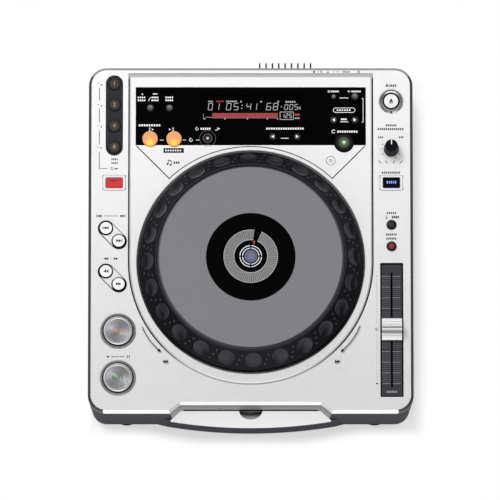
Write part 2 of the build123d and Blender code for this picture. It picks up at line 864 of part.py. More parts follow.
def centre_deck():
    """The raised U of the deck, with the hole that the jog wheel stands in."""
    body = slab(deck_outline(0), deck_under, deck_z)
    slope_start = deck_rear - deck_rear_slope
    rear_cut = (
        (slope_start, deck_z),
        (slope_start, deck_z + past),
        (deck_rear + past, deck_z + past),
        (deck_rear + past, strip_z),
        (deck_rear, strip_z),
    )
    sides = [e for e in top_edges(body) if e.center().Y < slope_start]
    body = chamfer(sides, deck_bevel)
    body -= prism_x(rear_cut, -half_width, half_width)
    hole = jog_radius + jog_ring_gap
    body -= turned(
        (
            (0, deck_under - past),
            (hole, deck_under - past),
            (hole, deck_z - jog_opening_bevel),
            (hole + jog_opening_bevel + past, deck_z + past),
            (0, deck_z + past),
        ),
        0,
        jog_y,
    )
    return body - slab(wing_outline(-fit_gap), deck_under - past, deck_z + past)


def display_holes(low, high):
    """The holes for the buttons of the display panel."""
    cuts = []
    for name, (x, y, radius, rise) in display_round.items():
        well = return_well_radius if name == "quick_return_button" else radius + play_gap
        cuts.append(rod(well, low, high, x, y))
    return cuts


def screen_brick(shrink, z0, z1):
    """The block of the lit screen, smaller by shrink across and front to back."""
    x, margin = display_screen_at
    width, depth = display_screen
    return brick(x, window_rear - margin, width - shrink, depth - shrink, z0, z1)


def display_panel():
    """The silver panel behind the jog wheel, with a seat for the window."""
    body = slab(wing_outline(fit_gap), deck_under, deck_z)
    body -= block(-half_width, half_width, window_front - fit_gap, case_rear, window_under, deck_z + past)
    body -= screen_brick(0, deck_under - past, window_under + past)
    for cut in display_holes(deck_under - past, deck_z + past):
        body -= cut
    return body


def display_window():
    """The smoked window over the display."""
    half = window_half_width - 2 * fit_gap
    body = block(-half, half, window_front, window_rear - 2 * fit_gap, window_under, deck_z)
    for cut in display_holes(window_under - past, deck_z + past):
        body -= cut
    return body


def return_well():
    """The black cup round the quick return button."""
    x, y, radius, rise = display_round["quick_return_button"]
    outer = return_well_radius - fit_gap
    inner = radius + play_gap
    top = deck_z + return_well_rise
    return turned(
        (
            (inner, deck_under),
            (outer, deck_under),
            (outer, top - return_well_edge),
            (outer - return_well_edge, top),
            (inner + return_well_edge, top),
            (inner, top - return_well_edge),
        ),
        x,
        y,
    )


# ---------------------------------------------------------------- slot bezel with its lip
def disc_slot_bezel():
    """One moulding: the wall with the slot, its slanted cheeks, and the lip with a finger scoop."""
    shell = slab(recess_outline(bezel_wall), lip_root, strip_under) & case_filled()
    shell -= slab(case_outline(0) - case_outline(case_wall + fit_gap), seam_z, strip_z)
    shell -= slab(recess_outline(0), lip_root, strip_z)
    lip = slab(lip_outline() & recess_outline(0), lip_root, slot_floor) & below_ramp()
    body = shell + lip
    behind = recess_back + bezel_reach_back
    body -= block(-slot_half_width, slot_half_width, recess_back - past, behind, slot_floor, slot_top)
    scoop = Pos(0, recess_back, slot_floor + scoop_lift) * Sphere(scoop_radius)
    body -= scoop & block(-scoop_radius, scoop_radius, lip_front, recess_back, lip_root, slot_top)
    return body - rod_y(pin_hole_radius, recess_back - past, behind, pin_hole_column, slot_top + pin_hole_rise)


# ---------------------------------------------------------------- jog wheel
def gear_outline(teeth, backlash):
    """A spur gear with straight-sided teeth drawn inside the involute ones."""
    pitch = gear_module * teeth / 2
    base = pitch * math.cos(math.radians(20))
    tip = pitch + gear_module
    root = pitch - 1.25 * gear_module
    step = 2 * math.pi / teeth

    def flank(radius):
        """Half the angle that a tooth takes up at a radius."""
        ratio = min(1.0, base / max(radius, base))
        pressure = math.acos(ratio)
        half = math.pi / 2 / teeth + math.tan(math.radians(20)) - math.radians(20)
        return half - (math.tan(pressure) - pressure) - backlash / 2 / pitch

    points = []
    for tooth in range(teeth):
        middle = tooth * step
        for radius, angle in (
            (root, -flank(root)),
            (tip, -flank(tip)),
            (tip, flank(tip)),
            (root, flank(root)),
        ):
            points.append((radius * math.cos(middle + angle), radius * math.sin(middle + angle)))
    return Polygon(*points, align=None)


def jog_hub():
    """The fixed post under the jog wheel, its flange, and the pin that carries the encoder wheel."""
    flange_top = deck_under + hub_flange_thickness
    post_top = hub_top - centre_display_thickness
    seat = gear_bottom - clear_gap
    flange = rod(jog_radius + jog_ring_gap - 2 * fit_gap, deck_under, flange_top, 0, jog_y)
    post = rod(post_radius, deck_under, post_top, 0, jog_y)
    shoulder = rod(post_radius + sleeve_wall, deck_under, seat, 0, jog_y)
    pin = rod(encoder_pin_radius, deck_under, gear_bottom + gear_face + encoder_pin_spare, encoder_x, encoder_y)
    collar = rod(2 * encoder_pin_radius, deck_under, seat, encoder_x, encoder_y)
    body = flange + post + shoulder + pin + collar
    return body - rod(post_radius - post_wall, deck_under - past, post_top + past, 0, jog_y)


def centre_display():
    """The round display on top of the post, seen through the jog wheel's window."""
    return rod(post_radius - centre_display_margin, hub_top - centre_display_thickness, hub_top, 0, jog_y)


def jog_platter():
    """The disc that carries the ring: a web, a sleeve on the post, and the gear for the encoder."""
    rim = jog_lip_radius - jog_lip_width - platter_seat
    web = rod(rim, platter_top - platter_thickness, platter_top, 0, jog_y)
    tube = rod(post_radius + sleeve_wall, gear_bottom, platter_top, 0, jog_y)
    gear = Pos(0, jog_y) * gear_outline(jog_gear_teeth, gear_backlash)
    body = web + tube + slab(gear, gear_bottom, gear_bottom + gear_face)
    return body - rod(post_radius + running_gap, gear_bottom - past, platter_top + past, 0, jog_y)


def jog_ring():
    """The grip ring: a skirt and a cone with a row of finger dimples."""
    inner_lip = jog_lip_radius - jog_lip_width
    inner_skirt = jog_radius - jog_ring_wall
    crown = jog_ring_top + jog_lip_rise
    points = (
        (jog_radius, jog_ring_bottom),
        (jog_radius, jog_shoulder - jog_skirt_edge),
        (jog_radius - jog_skirt_edge / 2, jog_shoulder),
        (jog_lip_radius, jog_ring_top),
        (jog_lip_radius - jog_lip_rise, crown),
        (inner_lip + jog_lip_rise, crown),
        (inner_lip, jog_ring_top),
        (inner_lip, platter_top - platter_thickness),
        (inner_skirt, jog_shoulder - jog_ring_wall),
        (inner_skirt, jog_ring_bottom),
    )
    ring = turned(points, 0, jog_y)
    slope = math.atan2(jog_cone_height, jog_cone_run)
    ball = (dimple_radius**2 + dimple_depth**2) / (2 * dimple_depth)
    lift = ball - dimple_depth
    reach = (jog_radius + jog_lip_radius) / 2 + lift * math.sin(slope)
    height = (jog_shoulder + jog_ring_top) / 2 + lift * math.cos(slope)
    for number in range(dimple_count):
        turn = 2 * math.pi * number / dimple_count + math.radians(dimple_turn)
        ring -= Pos(reach * math.cos(turn), jog_y + reach * math.sin(turn), height) * Sphere(ball)
    return ring


def touch_plate():
    """The flat plate that a hand presses and turns, open in the middle for the window."""
    hole = centre_window_radius + window_fit
    points = (
        (hole, touch_under),
        (touch_plate_radius, touch_under),
        (touch_plate_radius, jog_top - touch_plate_edge),
        (touch_plate_radius - touch_plate_edge, jog_top),
        (hole, jog_top),
    )
    return turned(points, 0, jog_y)


def centre_window():
    """The smoked disc in the middle of the touch plate."""
    return rod(centre_window_radius, touch_under, jog_top - centre_window_sink, 0, jog_y)


def encoder_wheel():
    """A pinion with a slotted disc, which turns four times as fast as the jog wheel."""
    top = gear_bottom + gear_face
    disc_low = top + encoder_disc_lift
    disc_high = disc_low + encoder_disc_thickness
    # A gap of the pinion faces the jog gear where a tooth of the jog gear faces the pinion.
    facing = encoder_angle + 180 + 180 / encoder_teeth
    phase = facing + encoder_angle * jog_gear_teeth / encoder_teeth
    plan = Pos(encoder_x, encoder_y) * Rot(0, 0, phase) * gear_outline(encoder_teeth, gear_backlash)
    hub = rod(encoder_hub_radius, gear_bottom, disc_low, encoder_x, encoder_y)
    disc = rod(encoder_disc_radius, disc_low, disc_high, encoder_x, encoder_y)
    long, wide = encoder_slot
    reach = encoder_disc_radius - long
    for number in range(encoder_slots):
        turn = 360 * number / encoder_slots
        slot = Pos(encoder_x, encoder_y, disc_low) * Rot(0, 0, turn) * Pos(reach, 0, 0)
        disc -= slot * Box(long, wide, 2 * encoder_disc_thickness + past)
    body = slab(plan, gear_bottom, top) + hub + disc
    bore = rod(encoder_pin_radius + running_gap, gear_bottom - past, disc_high + past, encoder_x, encoder_y)
    return body - bore


# ---------------------------------------------------------------- fader and knob
def fader_plate_floor():
    """The height of the seat under the fader plate."""
    return strip_z - fader_plate_sink - fader_plate_thickness


def fader_plate():
    """The dark plate with the slit that the lever runs in."""
    low, high = fader_plate_floor(), strip_z - fader_plate_sink
    plan = RectangleRounded(*fader_plate_size, fader_plate_corner)
    slit = Rot(0, 0, 90) * SlotOverall(fader_slit[1], fader_slit[0])
    body = slab(Pos(right_column, fader_y) * plan, low, high)
    return body - slab(Pos(right_column, fader_y) * slit, low - past, high + past)


def fader_track():
    """The steel channel of the slide control, under the plate."""
    width, length, height = fader_track_size
    sheet = fader_track_sheet
    slot_width, slot_end = fader_track_slot
    high = fader_plate_floor()
    low = high - height
    body = brick(right_column, fader_y, width, length, low, high)
    body -= brick(right_column, fader_y, width - 2 * sheet, length - 2 * sheet, low + sheet, high - sheet)
    return body - brick(right_column, fader_y, slot_width, length - 2 * slot_end, high - 2 * sheet, high + past)


def fader_carriage():
    """The wiper block in the channel, with the lever that stands up through the slit."""
    width, length, height = fader_track_size
    slack = fader_track_sheet + play_gap
    low, high = fader_plate_floor() - height + slack, fader_plate_floor() - slack
    shoe = brick(right_column, fader_y, width - 2 * slack, fader_shoe_length, low, high)
    return shoe + brick(right_column, fader_y, *fader_lever, low, fader_cap_top - fader_lever_cover)


def fader_cap():
    """The silver cap: a tall ridge with a line along its crown, between two low grooved ends."""
    low = strip_z + fader_cap_float
    width, length = fader_cap_size
    half = length / 2
    ridge = fader_ridge_width / 2
    end_top = low + fader_cap_end_height
    foot_top = end_top + fader_plateau_rise
    rear_half = (
        (half, low),
        (half, end_top - fader_cap_end_edge),
        (half - fader_cap_end_edge, end_top),
        (ridge + fader_ridge_foot, foot_top),
        (ridge, fader_cap_top - fader_ridge_edge),
        (ridge - fader_ridge_edge, fader_cap_top),
    )
    outline = [(fader_y + y, z) for y, z in rear_half]
    outline += [(fader_y - y, z) for y, z in reversed(rear_half)]
    left, right = right_column - width / 2, right_column + width / 2
    body = prism_x(outline, left, right)
    line_width, line_depth = fader_groove
    body -= brick(right_column, fader_y, 2 * width, line_width, fader_cap_top - line_depth, fader_cap_top + past)
    line_width, line_depth = fader_end_groove
    for side in (-1, 1):
        y = fader_y + side * (half - fader_end_groove_at)
        body -= brick(right_column, y, 2 * width, line_width, end_top - line_depth, foot_top + past)
    thick, deep = (size + 2 * fader_lever_fit for size in fader_lever)
    pocket_top = fader_cap_top - fader_lever_cover + fader_lever_fit
    return body - brick(right_column, fader_y, thick, deep, low - past, pocket_top)


def tempo_knob():
    """The small fluted knob, a tapered cap with a pointer line."""
    low = strip_z + knob_lift
    high = low + knob_height
    shoulder = low + knob_skirt_height
    body = turned(
        (
            (0, low),
            (knob_radius, low),
            (knob_radius, shoulder),
            (knob_top_radius, high - knob_top_edge),
            (knob_top_radius - knob_top_edge, high),
            (0, high),
        ),
        right_column,
        knob_y,
    )
    reach = knob_radius + knob_flute_offset
    for number in range(knob_flutes):
        turn = 2 * math.pi * (number + 0.5) / knob_flutes
        at_x, at_y = right_column + reach * math.cos(turn), knob_y + reach * math.sin(turn)
        body -= rod(knob_flute_radius, shoulder, high + past, at_x, at_y)
    line_width, line_depth, line_start = knob_pointer
    x0, x1 = right_column - line_width / 2, right_column + line_width / 2
    return body - block(x0, x1, knob_y + line_start, knob_y + knob_radius + past, high - line_depth, high + past)


def knob_shaft():
    """The control's shaft under the knob."""
    low = switch_top - knob_control[2]
    return rod(knob_shaft_radius, low, strip_z + knob_lift, right_column, knob_y)


# ---------------------------------------------------------------- loop button plate
def loop_plate_floor():
    """The height of the seat under the loop button plate."""
    return strip_z - loop_plate_sink - loop_plate_thickness


def loop_plate_outline(grow, z0, z1):
    """The oblong of the loop button plate, as a solid between two heights."""
    first = loop_button_place(0)[1]
    last = loop_button_place(loop_count - 1)[1]
    plan = SlotOverall(loop_plate_length + 2 * grow, loop_plate_width + 2 * grow)
    return slab(Pos(-left_column, (first + last) / 2) * Rot(0, 0, 90) * plan, z0, z1)


def loop_button_plate():
    """The dark oblong plate that the loop buttons stand in."""
    body = loop_plate_outline(0, loop_plate_floor(), strip_z - loop_plate_sink)
    for number in range(loop_count):
        x, y = loop_button_place(number)
        body -= rod(loop_button_radius + play_gap, loop_plate_floor() - past, strip_z, x, y)
    return body


# ---------------------------------------------------------------- feet, fasteners, boards
def foot_places():
    """Where the four feet stand."""
    x = half_width - foot_inset_x
    return [(sx * x, y) for sx in (-1, 1) for y in (case_front + foot_inset_y, case_rear - foot_inset_y)]


def rubber_foot(x, y):
    """A turned rubber foot, hollow underneath."""
    hollow_radius, hollow_depth = foot_hollow
    narrow, less_narrow, edge = foot_taper
    profile = (
        (hollow_radius, 0),
        (foot_radius - narrow, 0),
        (foot_radius - less_narrow, edge),
        (foot_radius, foot_height - edge),
        (foot_radius, foot_height),
        (0, foot_height),
        (0, hollow_depth),
        (hollow_radius, hollow_depth),
    )
    return turned(profile, x, y)


def case_screw(x, y):
    """One of the long screws that hold the two halves of the case together."""
    low = foot_height + screw_hole_spare / 2
    head = rod(screw_head_radius, low, foot_height + screw_head_height, x, y)
    shank = rod(screw_radius - running_gap, low, foot_height + screw_length - screw_hole_spare, x, y)
    long, wide, deep = screw_cross
    cross = brick(x, y, long, wide, foot_height, foot_height + deep)
    cross += brick(x, y, wide, long, foot_height, foot_height + deep)
    return head + shank - cross


def base_plate():
    """The steel floor inside the lower case, which carries the boards and the drive."""
    body = slab(case_outline(case_draft + case_wall + plate_inset), floor_z, floor_z + plate_thickness)
    for x, y in case_posts():
        body -= rod(case_post_radius + plate_inset, floor_z - past, floor_z + plate_thickness + past, x, y)
    notch = lip_half_width + plate_inset
    return body - block(-notch, notch, case_front, recess_back + plate_inset, floor_z - past, strip_z)


def board_on_posts(x0, x1, y0, y1, columns):
    """A circuit board over the base plate, on two rows of standoffs."""
    low = floor_z + plate_thickness
    board_z = low + board_lift
    solids = [block(x0, x1, y0, y1, board_z, board_z + board_thickness)]
    for x in columns:
        for y in (y0 + board_hole_inset, y1 - board_hole_inset):
            solids.append(rod(standoff_radius, low, board_z, x, y))
    return solids


def main_board():
    """The main circuit board behind the drive, on standoffs, with its chips and connectors."""
    front, rear = main_board_margins
    x0, x1 = main_board_inset - half_width, half_width - power_board_inset - power_board_width - boards_gap
    y0, y1 = drive_rear + front, case_rear - rear
    columns = (x0 + board_hole_inset, (x0 + x1) / 2, x1 - board_hole_inset)
    solids = board_on_posts(x0, x1, y0, y1, columns)
    part_z = floor_z + plate_thickness + board_lift + board_thickness
    for x, y, width, depth, height in main_board_parts:
        solids.append(brick(x0 + x, y0 + y, width, depth, part_z, part_z + height))
    return solids


def power_supply():
    """The power board with its transformer, capacitors and fuse."""
    x1 = half_width - power_board_inset
    x0 = x1 - power_board_width
    y0, y1 = drive_rear + main_board_margins[0], case_rear - power_board_margin_rear
    solids = board_on_posts(x0, x1, y0, y1, (x0 + board_hole_inset, x1 - board_hole_inset))
    part_z = floor_z + plate_thickness + board_lift + board_thickness
    for (x, y, width, depth, height), base in (
        (transformer, part_z),
        (transformer_core, part_z + transformer[4]),
        (fuse_holder, part_z),
    ):
        solids.append(brick(x0 + x, y0 + y, width, depth, base, base + height))
    for x, y, radius, height in power_capacitors:
        solids.append(rod(radius, part_z, part_z + height, x0 + x, y0 + y))
    return solids


def panel_boards():
    """The three switch boards under the controls, with a switch under every button."""
    outer = half_width - panel_board_inset
    inner = deck_half_width + panel_board_gap
    rear = case_rear - panel_board_rear
    side = display_opening_half_width - display_board_inset
    plans = (
        (-outer, -inner, case_front + panel_board_front, rear),
        (inner, outer, fader_plate_rear - panel_board_lap, rear),
        (-side, side, window_front - display_board_front, window_rear - display_board_rear),
    )
    solids = [block(*plan, panel_board_height, board_top) for plan in plans]
    places = [loop_button_place(number) for number in range(loop_count)]
    places += [row[:2] for rows in (strip_round, large_round, oblong, display_round) for row in rows.values()]
    width, depth, height = switch_size
    for x, y in places:
        solids.append(brick(x, y, width, depth, board_top, board_top + height))
    width, depth, stay = knob_control
    solids.append(brick(right_column, knob_y, width, depth, board_top, switch_top - stay))
    return solids


def panel_standoffs():
    """The posts that hang the switch boards under the strips and the display panel."""
    posts = []
    left = -large_column + standoff_radius
    right = right_column + standoff_radius
    for x, y in (
        (left, (cue_y + play_y) / 2),
        (left, oblong_y + oblong_button[0]),
        (right, (eject_y + knob_y) / 2 - standoff_radius),
        (right, fader_plate_rear + strip_standoff_offset),
    ):
        posts.append(rod(standoff_radius, board_top, strip_under, x, y))
    y = window_rear - display_standoff_row
    from_left, from_right = display_standoff_columns
    for x in (window_left + from_left, window_right - from_right):
        posts.append(rod(standoff_radius, board_top, deck_under, x, y))
    return posts


def display_module():
    """The glass display under the window, on its own legs."""
    high = window_under - clear_gap
    low = high - glass_height
    glass = screen_brick(1, low, high)
    x, margin = display_screen_at
    reach = display_screen[0] / 2 - glass_leg_inset
    width, depth = glass_leg
    y = window_rear - margin
    return [glass, *(brick(x + side * reach, y, width, depth, board_top, low) for side in (-1, 1))]


# ---------------------------------------------------------------- rear
def rear_panel():
    """The steel plate that carries the sockets."""
    reach = rear_opening_width / 2 + rear_panel_overlap
    low, high = rear_opening_floor - rear_panel_overlap, rear_opening_roof + rear_panel_overlap
    body = block(-reach, reach, rear_panel_back, rear_panel_face, low, high)
    start, end = rear_panel_back - past, rear_panel_face + past
    for x in rca_positions:
        body -= rod_y(rca_radius + rca_hole_gap, start, end, x, socket_height)
    body -= rod_y(mini_jack_radius + rca_hole_gap, start, end, mini_jack_x, socket_height)
    wide, tall = inlet_size[0] / 2, inlet_size[1] / 2
    body -= block(inlet_x - wide, inlet_x + wide, start, end, inlet_height - tall, inlet_height + tall)
    wide, tall = (size / 2 + play_gap for size in power_button_size)
    return body - block(power_x - wide, power_x + wide, start, end, power_height - tall, power_height + tall)


def heat_sink():
    """The comb of fins on the rear panel, which stands out behind the case."""
    spare, thick = fin_root
    half_span = (fin_count - 1) * fin_pitch / 2
    high = rear_opening_roof - clear_gap
    reach = half_span + spare
    body = block(fin_middle - reach, fin_middle + reach, rear_panel_face, rear_panel_face + thick, fin_bottom, high)
    tip = case_rear + fin_reach
    for number in range(fin_count):
        x = fin_middle - half_span + number * fin_pitch
        x0, x1 = x - fin_thickness / 2, x + fin_thickness / 2
        body += block(x0, x1, rear_panel_face, tip, fin_bottom, high)
        body += block(x0, x1, case_rear + clear_gap, tip, fin_bottom, fin_top)
    return body


def phono_socket(x):
    """A phono socket: its shell, flange and moulded body behind the panel."""
    out = case_rear + jack_reach
    flange_radius, flange_thick = rca_flange
    bore, bore_depth = rca_bore
    wide, tall, deep = rca_body
    socket = rod_y(rca_radius, rear_panel_back - rca_body_lap, out, x, socket_height)
    socket += rod_y(flange_radius, rear_panel_face, rear_panel_face + flange_thick, x, socket_height)
    low, high = socket_height - tall / 2, socket_height + tall / 2
    socket += block(x - wide / 2, x + wide / 2, rear_panel_back - deep, rear_panel_back, low, high)
    return socket - rod_y(bore, out - bore_depth, out + past, x, socket_height)


def mini_jack():
    """The small control socket."""
    wide, deep, tall = mini_jack_body
    nose = rear_panel_face + mini_jack_nose
    x0, x1 = mini_jack_x - wide / 2, mini_jack_x + wide / 2
    low, high = socket_height - tall / 2, socket_height + tall / 2
    socket = rod_y(mini_jack_radius, rear_panel_back, nose, mini_jack_x, socket_height)
    socket += block(x0, x1, rear_panel_back - deep, rear_panel_back, low, high)
    return socket - rod_y(mini_jack_bore, nose - mini_jack_depth, nose + past, mini_jack_x, socket_height)


def mains_inlet():
    """The two-pin mains inlet."""
    wide, tall = inlet_size[0] / 2 - fit_gap, inlet_size[1] / 2 - fit_gap
    face = rear_panel_face + inlet_rim
    back = face - inlet_size[2]
    housing = block(inlet_x - wide, inlet_x + wide, back, face, inlet_height - tall, inlet_height + tall)
    cavity_width, cavity_height, cavity_depth = inlet_cavity
    mouth = SlotOverall(cavity_width, cavity_height)
    housing -= slab_y(mouth, inlet_x, inlet_height, face - cavity_depth, face + past)
    for side in (-1, 1):
        x = inlet_x + side * inlet_pin_spacing / 2
        housing += rod_y(inlet_pin_radius, back + inlet_pin_root, face - inlet_pin_root, x, inlet_height)
    return housing


def power_button():
    """The push switch's button at the rear, which moves in towards the front."""
    wide, tall = (size / 2 for size in power_button_size)
    low = rear_panel_back - flange_drop - flange_thickness
    tip = rear_panel_face + power_reach
    cap = block(power_x - wide, power_x + wide, low, tip, power_height - tall, power_height + tall)
    cap = fillet(cap.faces().sort_by(Axis.Y)[-1].edges(), cap_edge)
    wide, tall = wide + flange_reach, tall + flange_reach
    y1 = rear_panel_back - flange_drop
    flange = block(power_x - wide, power_x + wide, low, y1, power_height - tall, power_height + tall)
    radius, reach = power_plunger
    return cap + flange + rod_y(radius, low - reach, low, power_x, power_height)


def power_switch():
    """The body of the mains switch, on the inside of the rear panel."""
    wide, tall, deep = power_switch_size
    side_wall, roof_wall = power_switch_wall
    room = rear_panel_back - power_plunger[1] - flange_thickness - flange_drop - power_travel - clear_gap
    x0, x1 = power_x - wide / 2, power_x + wide / 2
    z0, z1 = power_height - tall / 2, power_height + tall / 2
    body = block(x0, x1, room - deep, rear_panel_back, z0, z1)
    inside = block(x0 + side_wall, x1 - side_wall, room, rear_panel_face, z0 + roof_wall, z1 - roof_wall)
    return body - inside


# ---------------------------------------------------------------- disc drive
def drive_mounts():
    """Where the drive stands on its four rubber mounts."""
    side, front, rear = drive_mount_inset
    x = drive_half_width - side
    return [(sx * x, y) for sx in (-1, 1) for y in (drive_front + front, drive_rear - rear)]


def drive_chassis():
    """The folded steel frame of the drive: floor, side walls and roof, with room for the puck and motor."""
    x = drive_half_width
    sheet = drive_sheet
    body = block(-x, x, drive_front, drive_rear, drive_floor, drive_floor + sheet)
    body += block(-x, sheet - x, drive_front, drive_rear, drive_floor, drive_roof)
    body += block(x - sheet, x, drive_front, drive_rear, drive_floor, drive_roof)
    body += block(-x, x, drive_front, drive_rear, drive_roof, drive_roof + sheet)
    body -= rod(clamper_radius - clamper_hang, drive_roof - past, drive_roof + sheet + past, 0, spindle_y)
    body -= rod(motor_radius + motor_hole_gap, drive_floor - past, drive_floor + sheet + past, 0, spindle_y)
    return body - rod_x(roller_shaft_radius + play_gap, -x - past, x + past, roller_y, roller_z)


def spindle_motor():
    """The motor that turns the disc, let into the frame's floor."""
    boss_radius, boss_height = motor_boss
    top = turntable_z - motor_drop
    low = drive_floor - motor_drop
    motor = rod(motor_radius, low, top - boss_height, 0, spindle_y)
    motor += rod(boss_radius, top - boss_height, top, 0, spindle_y)
    return motor - rod(spindle_shaft_radius + running_gap, low + spindle_shaft_reach / 2, top + past, 0, spindle_y)


def sled_rail(side):
    """One of the two rails, on its end blocks."""
    x = side * rail_half_spacing
    rail = rod_y(rail_radius, rail_start, rail_finish, x, rail_z)
    for y in (rail_start + rail_seat / 4, rail_finish - rail_seat / 4):
        rail += brick(x, y, rail_seat, rail_seat / 2, drive_floor + drive_sheet, rail_z + rail_seat / 2)
    return rail


def drive_parts():
    """What the frame carries: the motor, the two rails and the four rubber mounts."""
    low = floor_z + plate_thickness
    mounts = [rod(drive_mount_radius, low, drive_floor, x, y) for x, y in drive_mounts()]
    return [spindle_motor(), sled_rail(-1), sled_rail(1), *mounts]


def disc_spindle():
    """The turntable with its centring cone, on the motor's shaft."""
    low = turntable_z - turntable_depth
    top = turntable_z + spindle_cone_height
    narrow, crown = spindle_cone_taper
    body = turned(
        (
            (0, low),
            (turntable_radius - turntable_foot, low),
            (turntable_radius, turntable_z - turntable_rim),
            (turntable_radius, turntable_z),
            (spindle_cone_radius, turntable_z),
            (spindle_cone_radius - narrow, turntable_z + disc_thickness),
            (spindle_cone_radius - crown, top),
            (0, top),
        ),
        0,
        spindle_y,
    )
    return body + rod(spindle_shaft_radius, drive_floor - spindle_shaft_reach, low, 0, spindle_y)


def disc_clamper():
    """The puck that presses the disc on the turntable, hung in the roof of the drive."""
    low = turntable_z + disc_thickness + clamper_float
    high = low + clamper_thickness
    neck = clamper_radius - clamper_hang - play_gap
    hang = drive_roof + drive_sheet + play_gap
    return turned(
        (
            (0, low + clamper_hollow),
            (spindle_cone_radius, low + clamper_hollow),
            (spindle_cone_radius, low),
            (clamper_radius, low),
            (clamper_radius, high),
            (neck, high),
            (neck, hang),
            (clamper_radius, hang),
            (clamper_radius, hang + clamper_rim),
            (0, hang + clamper_rim),
        ),
        0,
        spindle_y,
    )


def loading_roller():
    """The rubber roller that draws the disc in, waisted in the middle, with its drive gear."""
    x = drive_half_width
    half = slot_half_width - roller_end_margin
    left_reach, right_reach = roller_shaft_reach
    gear_radius, gear_gap = roller_gear
    shaft = rod_x(roller_shaft_radius, -x - left_reach, x + right_reach, roller_y, roller_z)
    gear = rod_x(gear_radius, x + gear_gap, x + right_reach, roller_y, roller_z)
    section = (
        (-half, 0),
        (-half, roller_radius),
        (0, roller_radius - roller_waist),
        (half, roller_radius),
        (half, 0),
    )
    rubber = revolve(Plane.XY * Polygon(*section, align=None), Axis.X)
    return Pos(0, roller_y, roller_z) * rubber + shaft + gear


def pickup_sled():
    """The laser pickup's carriage on its two rails, with the lens on top."""
    start = rail_start + sled_start
    end = start + sled_length
    low, high = drive_floor + drive_sheet + sled_lift, slot_floor - sled_drop
    fork_width, fork_reach = sled_fork
    body = block(-sled_half_width, sled_half_width, start, end, low, high)
    for side in (-1, 1):
        x = side * rail_half_spacing
        body -= rod_y(rail_radius + running_gap, start - past, end + past, x, rail_z)
        fork_top = rail_z - fork_reach
        body -= brick(x, (start + end) / 2, fork_width, sled_length + 2 * past, low - past, fork_top)
    return body + rod(lens_radius, high, high + lens_height, 0, start + lens_at)


# ---------------------------------------------------------------- all nodes
def build():
    """Builds every node and writes it."""
    os.makedirs("parts", exist_ok=True)
    write("lower_case", lower_case())
    write("top_case", top_case())
    write("centre_deck", centre_deck())
    write("display_panel", display_panel())
    write("display_window", display_window())
    write("disc_slot_bezel", disc_slot_bezel())
    write("rubber_feet", *(rubber_foot(x, y) for x, y in foot_places()))
    write("case_screws", *(case_screw(x, y) for x, y in case_posts()))
    write("base_plate", base_plate())
    write("main_board", *main_board())
    write("power_supply", *power_supply())
    write("panel_boards", *panel_boards(), *panel_standoffs(), *display_module())
    write("rear_panel", rear_panel() + heat_sink())
    write("rear_jacks", *(phono_socket(x) for x in rca_positions), mini_jack(), mains_inlet(), power_switch())

    write("jog_hub", jog_hub(), centre_display())
    write("jog_platter", jog_platter())
    write("jog_ring", jog_ring())
    write("touch_plate", touch_plate())
    write("centre_window", centre_window())
    write("encoder_wheel", encoder_wheel())

    write("fader_plate", fader_plate())
    write("fader_track", fader_track())
    write("fader_carriage", fader_carriage())
    write("fader_cap", fader_cap())
    write("tempo_knob", tempo_knob(), knob_shaft())
    write("loop_button_plate", loop_button_plate())

    rings = [search_bezel(track_y), search_bezel(search_y), return_well()]
    eject_ring = (eject_ring_radius, eject_ring_width, eject_ring_rise, eject_button_radius)
    rings.append(round_ring(right_column, eject_y, *eject_ring))
    large_ring = (large_ring_radius, large_ring_width, large_ring_rise, large_button_radius)
    rings += [round_ring(x, y, *large_ring) for x, y in large_round.values()]
    rings += [oblong_frame_ring(x, y) for x, y in oblong.values()]
    write("button_rings", *rings)

    for number in range(loop_count):
        x, y = loop_button_place(number)
        top = strip_z + loop_button_rise
        write(f"loop_button_{2 ** number}", round_button(x, y, loop_button_radius, top, strip_under, small_travel))
    for name, (x, y, radius, rise) in strip_round.items():
        write(name, round_button(x, y, radius, strip_z + rise, strip_under, small_travel))
    for name, (x, y, radius, rise) in display_round.items():
        write(name, round_button(x, y, radius, deck_z + rise, deck_under, small_travel))
    for name, (x, y) in large_round.items():
        write(name, large_button(x, y))
    for name, (x, y) in oblong.items():
        write(name, oblong_key(x, y))
    write("power_button", power_button())

    write("drive_chassis", drive_chassis(), *drive_parts())
    write("disc_spindle", disc_spindle())
    write("disc_clamper", disc_clamper())
    write("loading_roller", loading_roller())
    write("pickup_sled", pickup_sled())


build()
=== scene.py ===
"""Dresses a tabletop disc player for DJs.

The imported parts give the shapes.  Here they get their finishes, the printed and lit legends,
the grip marks of the jog wheel, and a plain studio.  Lengths are millimetres until a mesh is
written, which is in metres.
"""
from __future__ import annotations

import logging
import math
from dataclasses import dataclass, field
from enum import Enum
from typing import Callable, Iterable, Mapping, Self, Sequence

import bpy
from mathutils import Matrix, Vector


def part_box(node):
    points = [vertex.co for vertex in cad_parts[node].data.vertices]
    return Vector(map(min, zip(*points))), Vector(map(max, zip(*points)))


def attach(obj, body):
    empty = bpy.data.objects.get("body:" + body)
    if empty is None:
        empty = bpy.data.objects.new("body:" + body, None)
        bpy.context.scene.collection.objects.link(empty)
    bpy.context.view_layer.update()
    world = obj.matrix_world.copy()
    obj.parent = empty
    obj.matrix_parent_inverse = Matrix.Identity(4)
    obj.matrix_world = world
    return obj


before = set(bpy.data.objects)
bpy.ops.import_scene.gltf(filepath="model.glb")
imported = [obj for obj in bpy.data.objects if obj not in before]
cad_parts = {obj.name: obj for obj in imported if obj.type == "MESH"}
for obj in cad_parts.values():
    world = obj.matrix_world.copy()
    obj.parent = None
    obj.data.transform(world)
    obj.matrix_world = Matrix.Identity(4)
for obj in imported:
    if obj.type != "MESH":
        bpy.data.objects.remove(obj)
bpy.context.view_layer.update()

MM = 0.001
FILM = 0.04  # an ink film is sunk this deep, and stands this high
Colour = tuple[float, float, float]
Point = tuple[float, float]
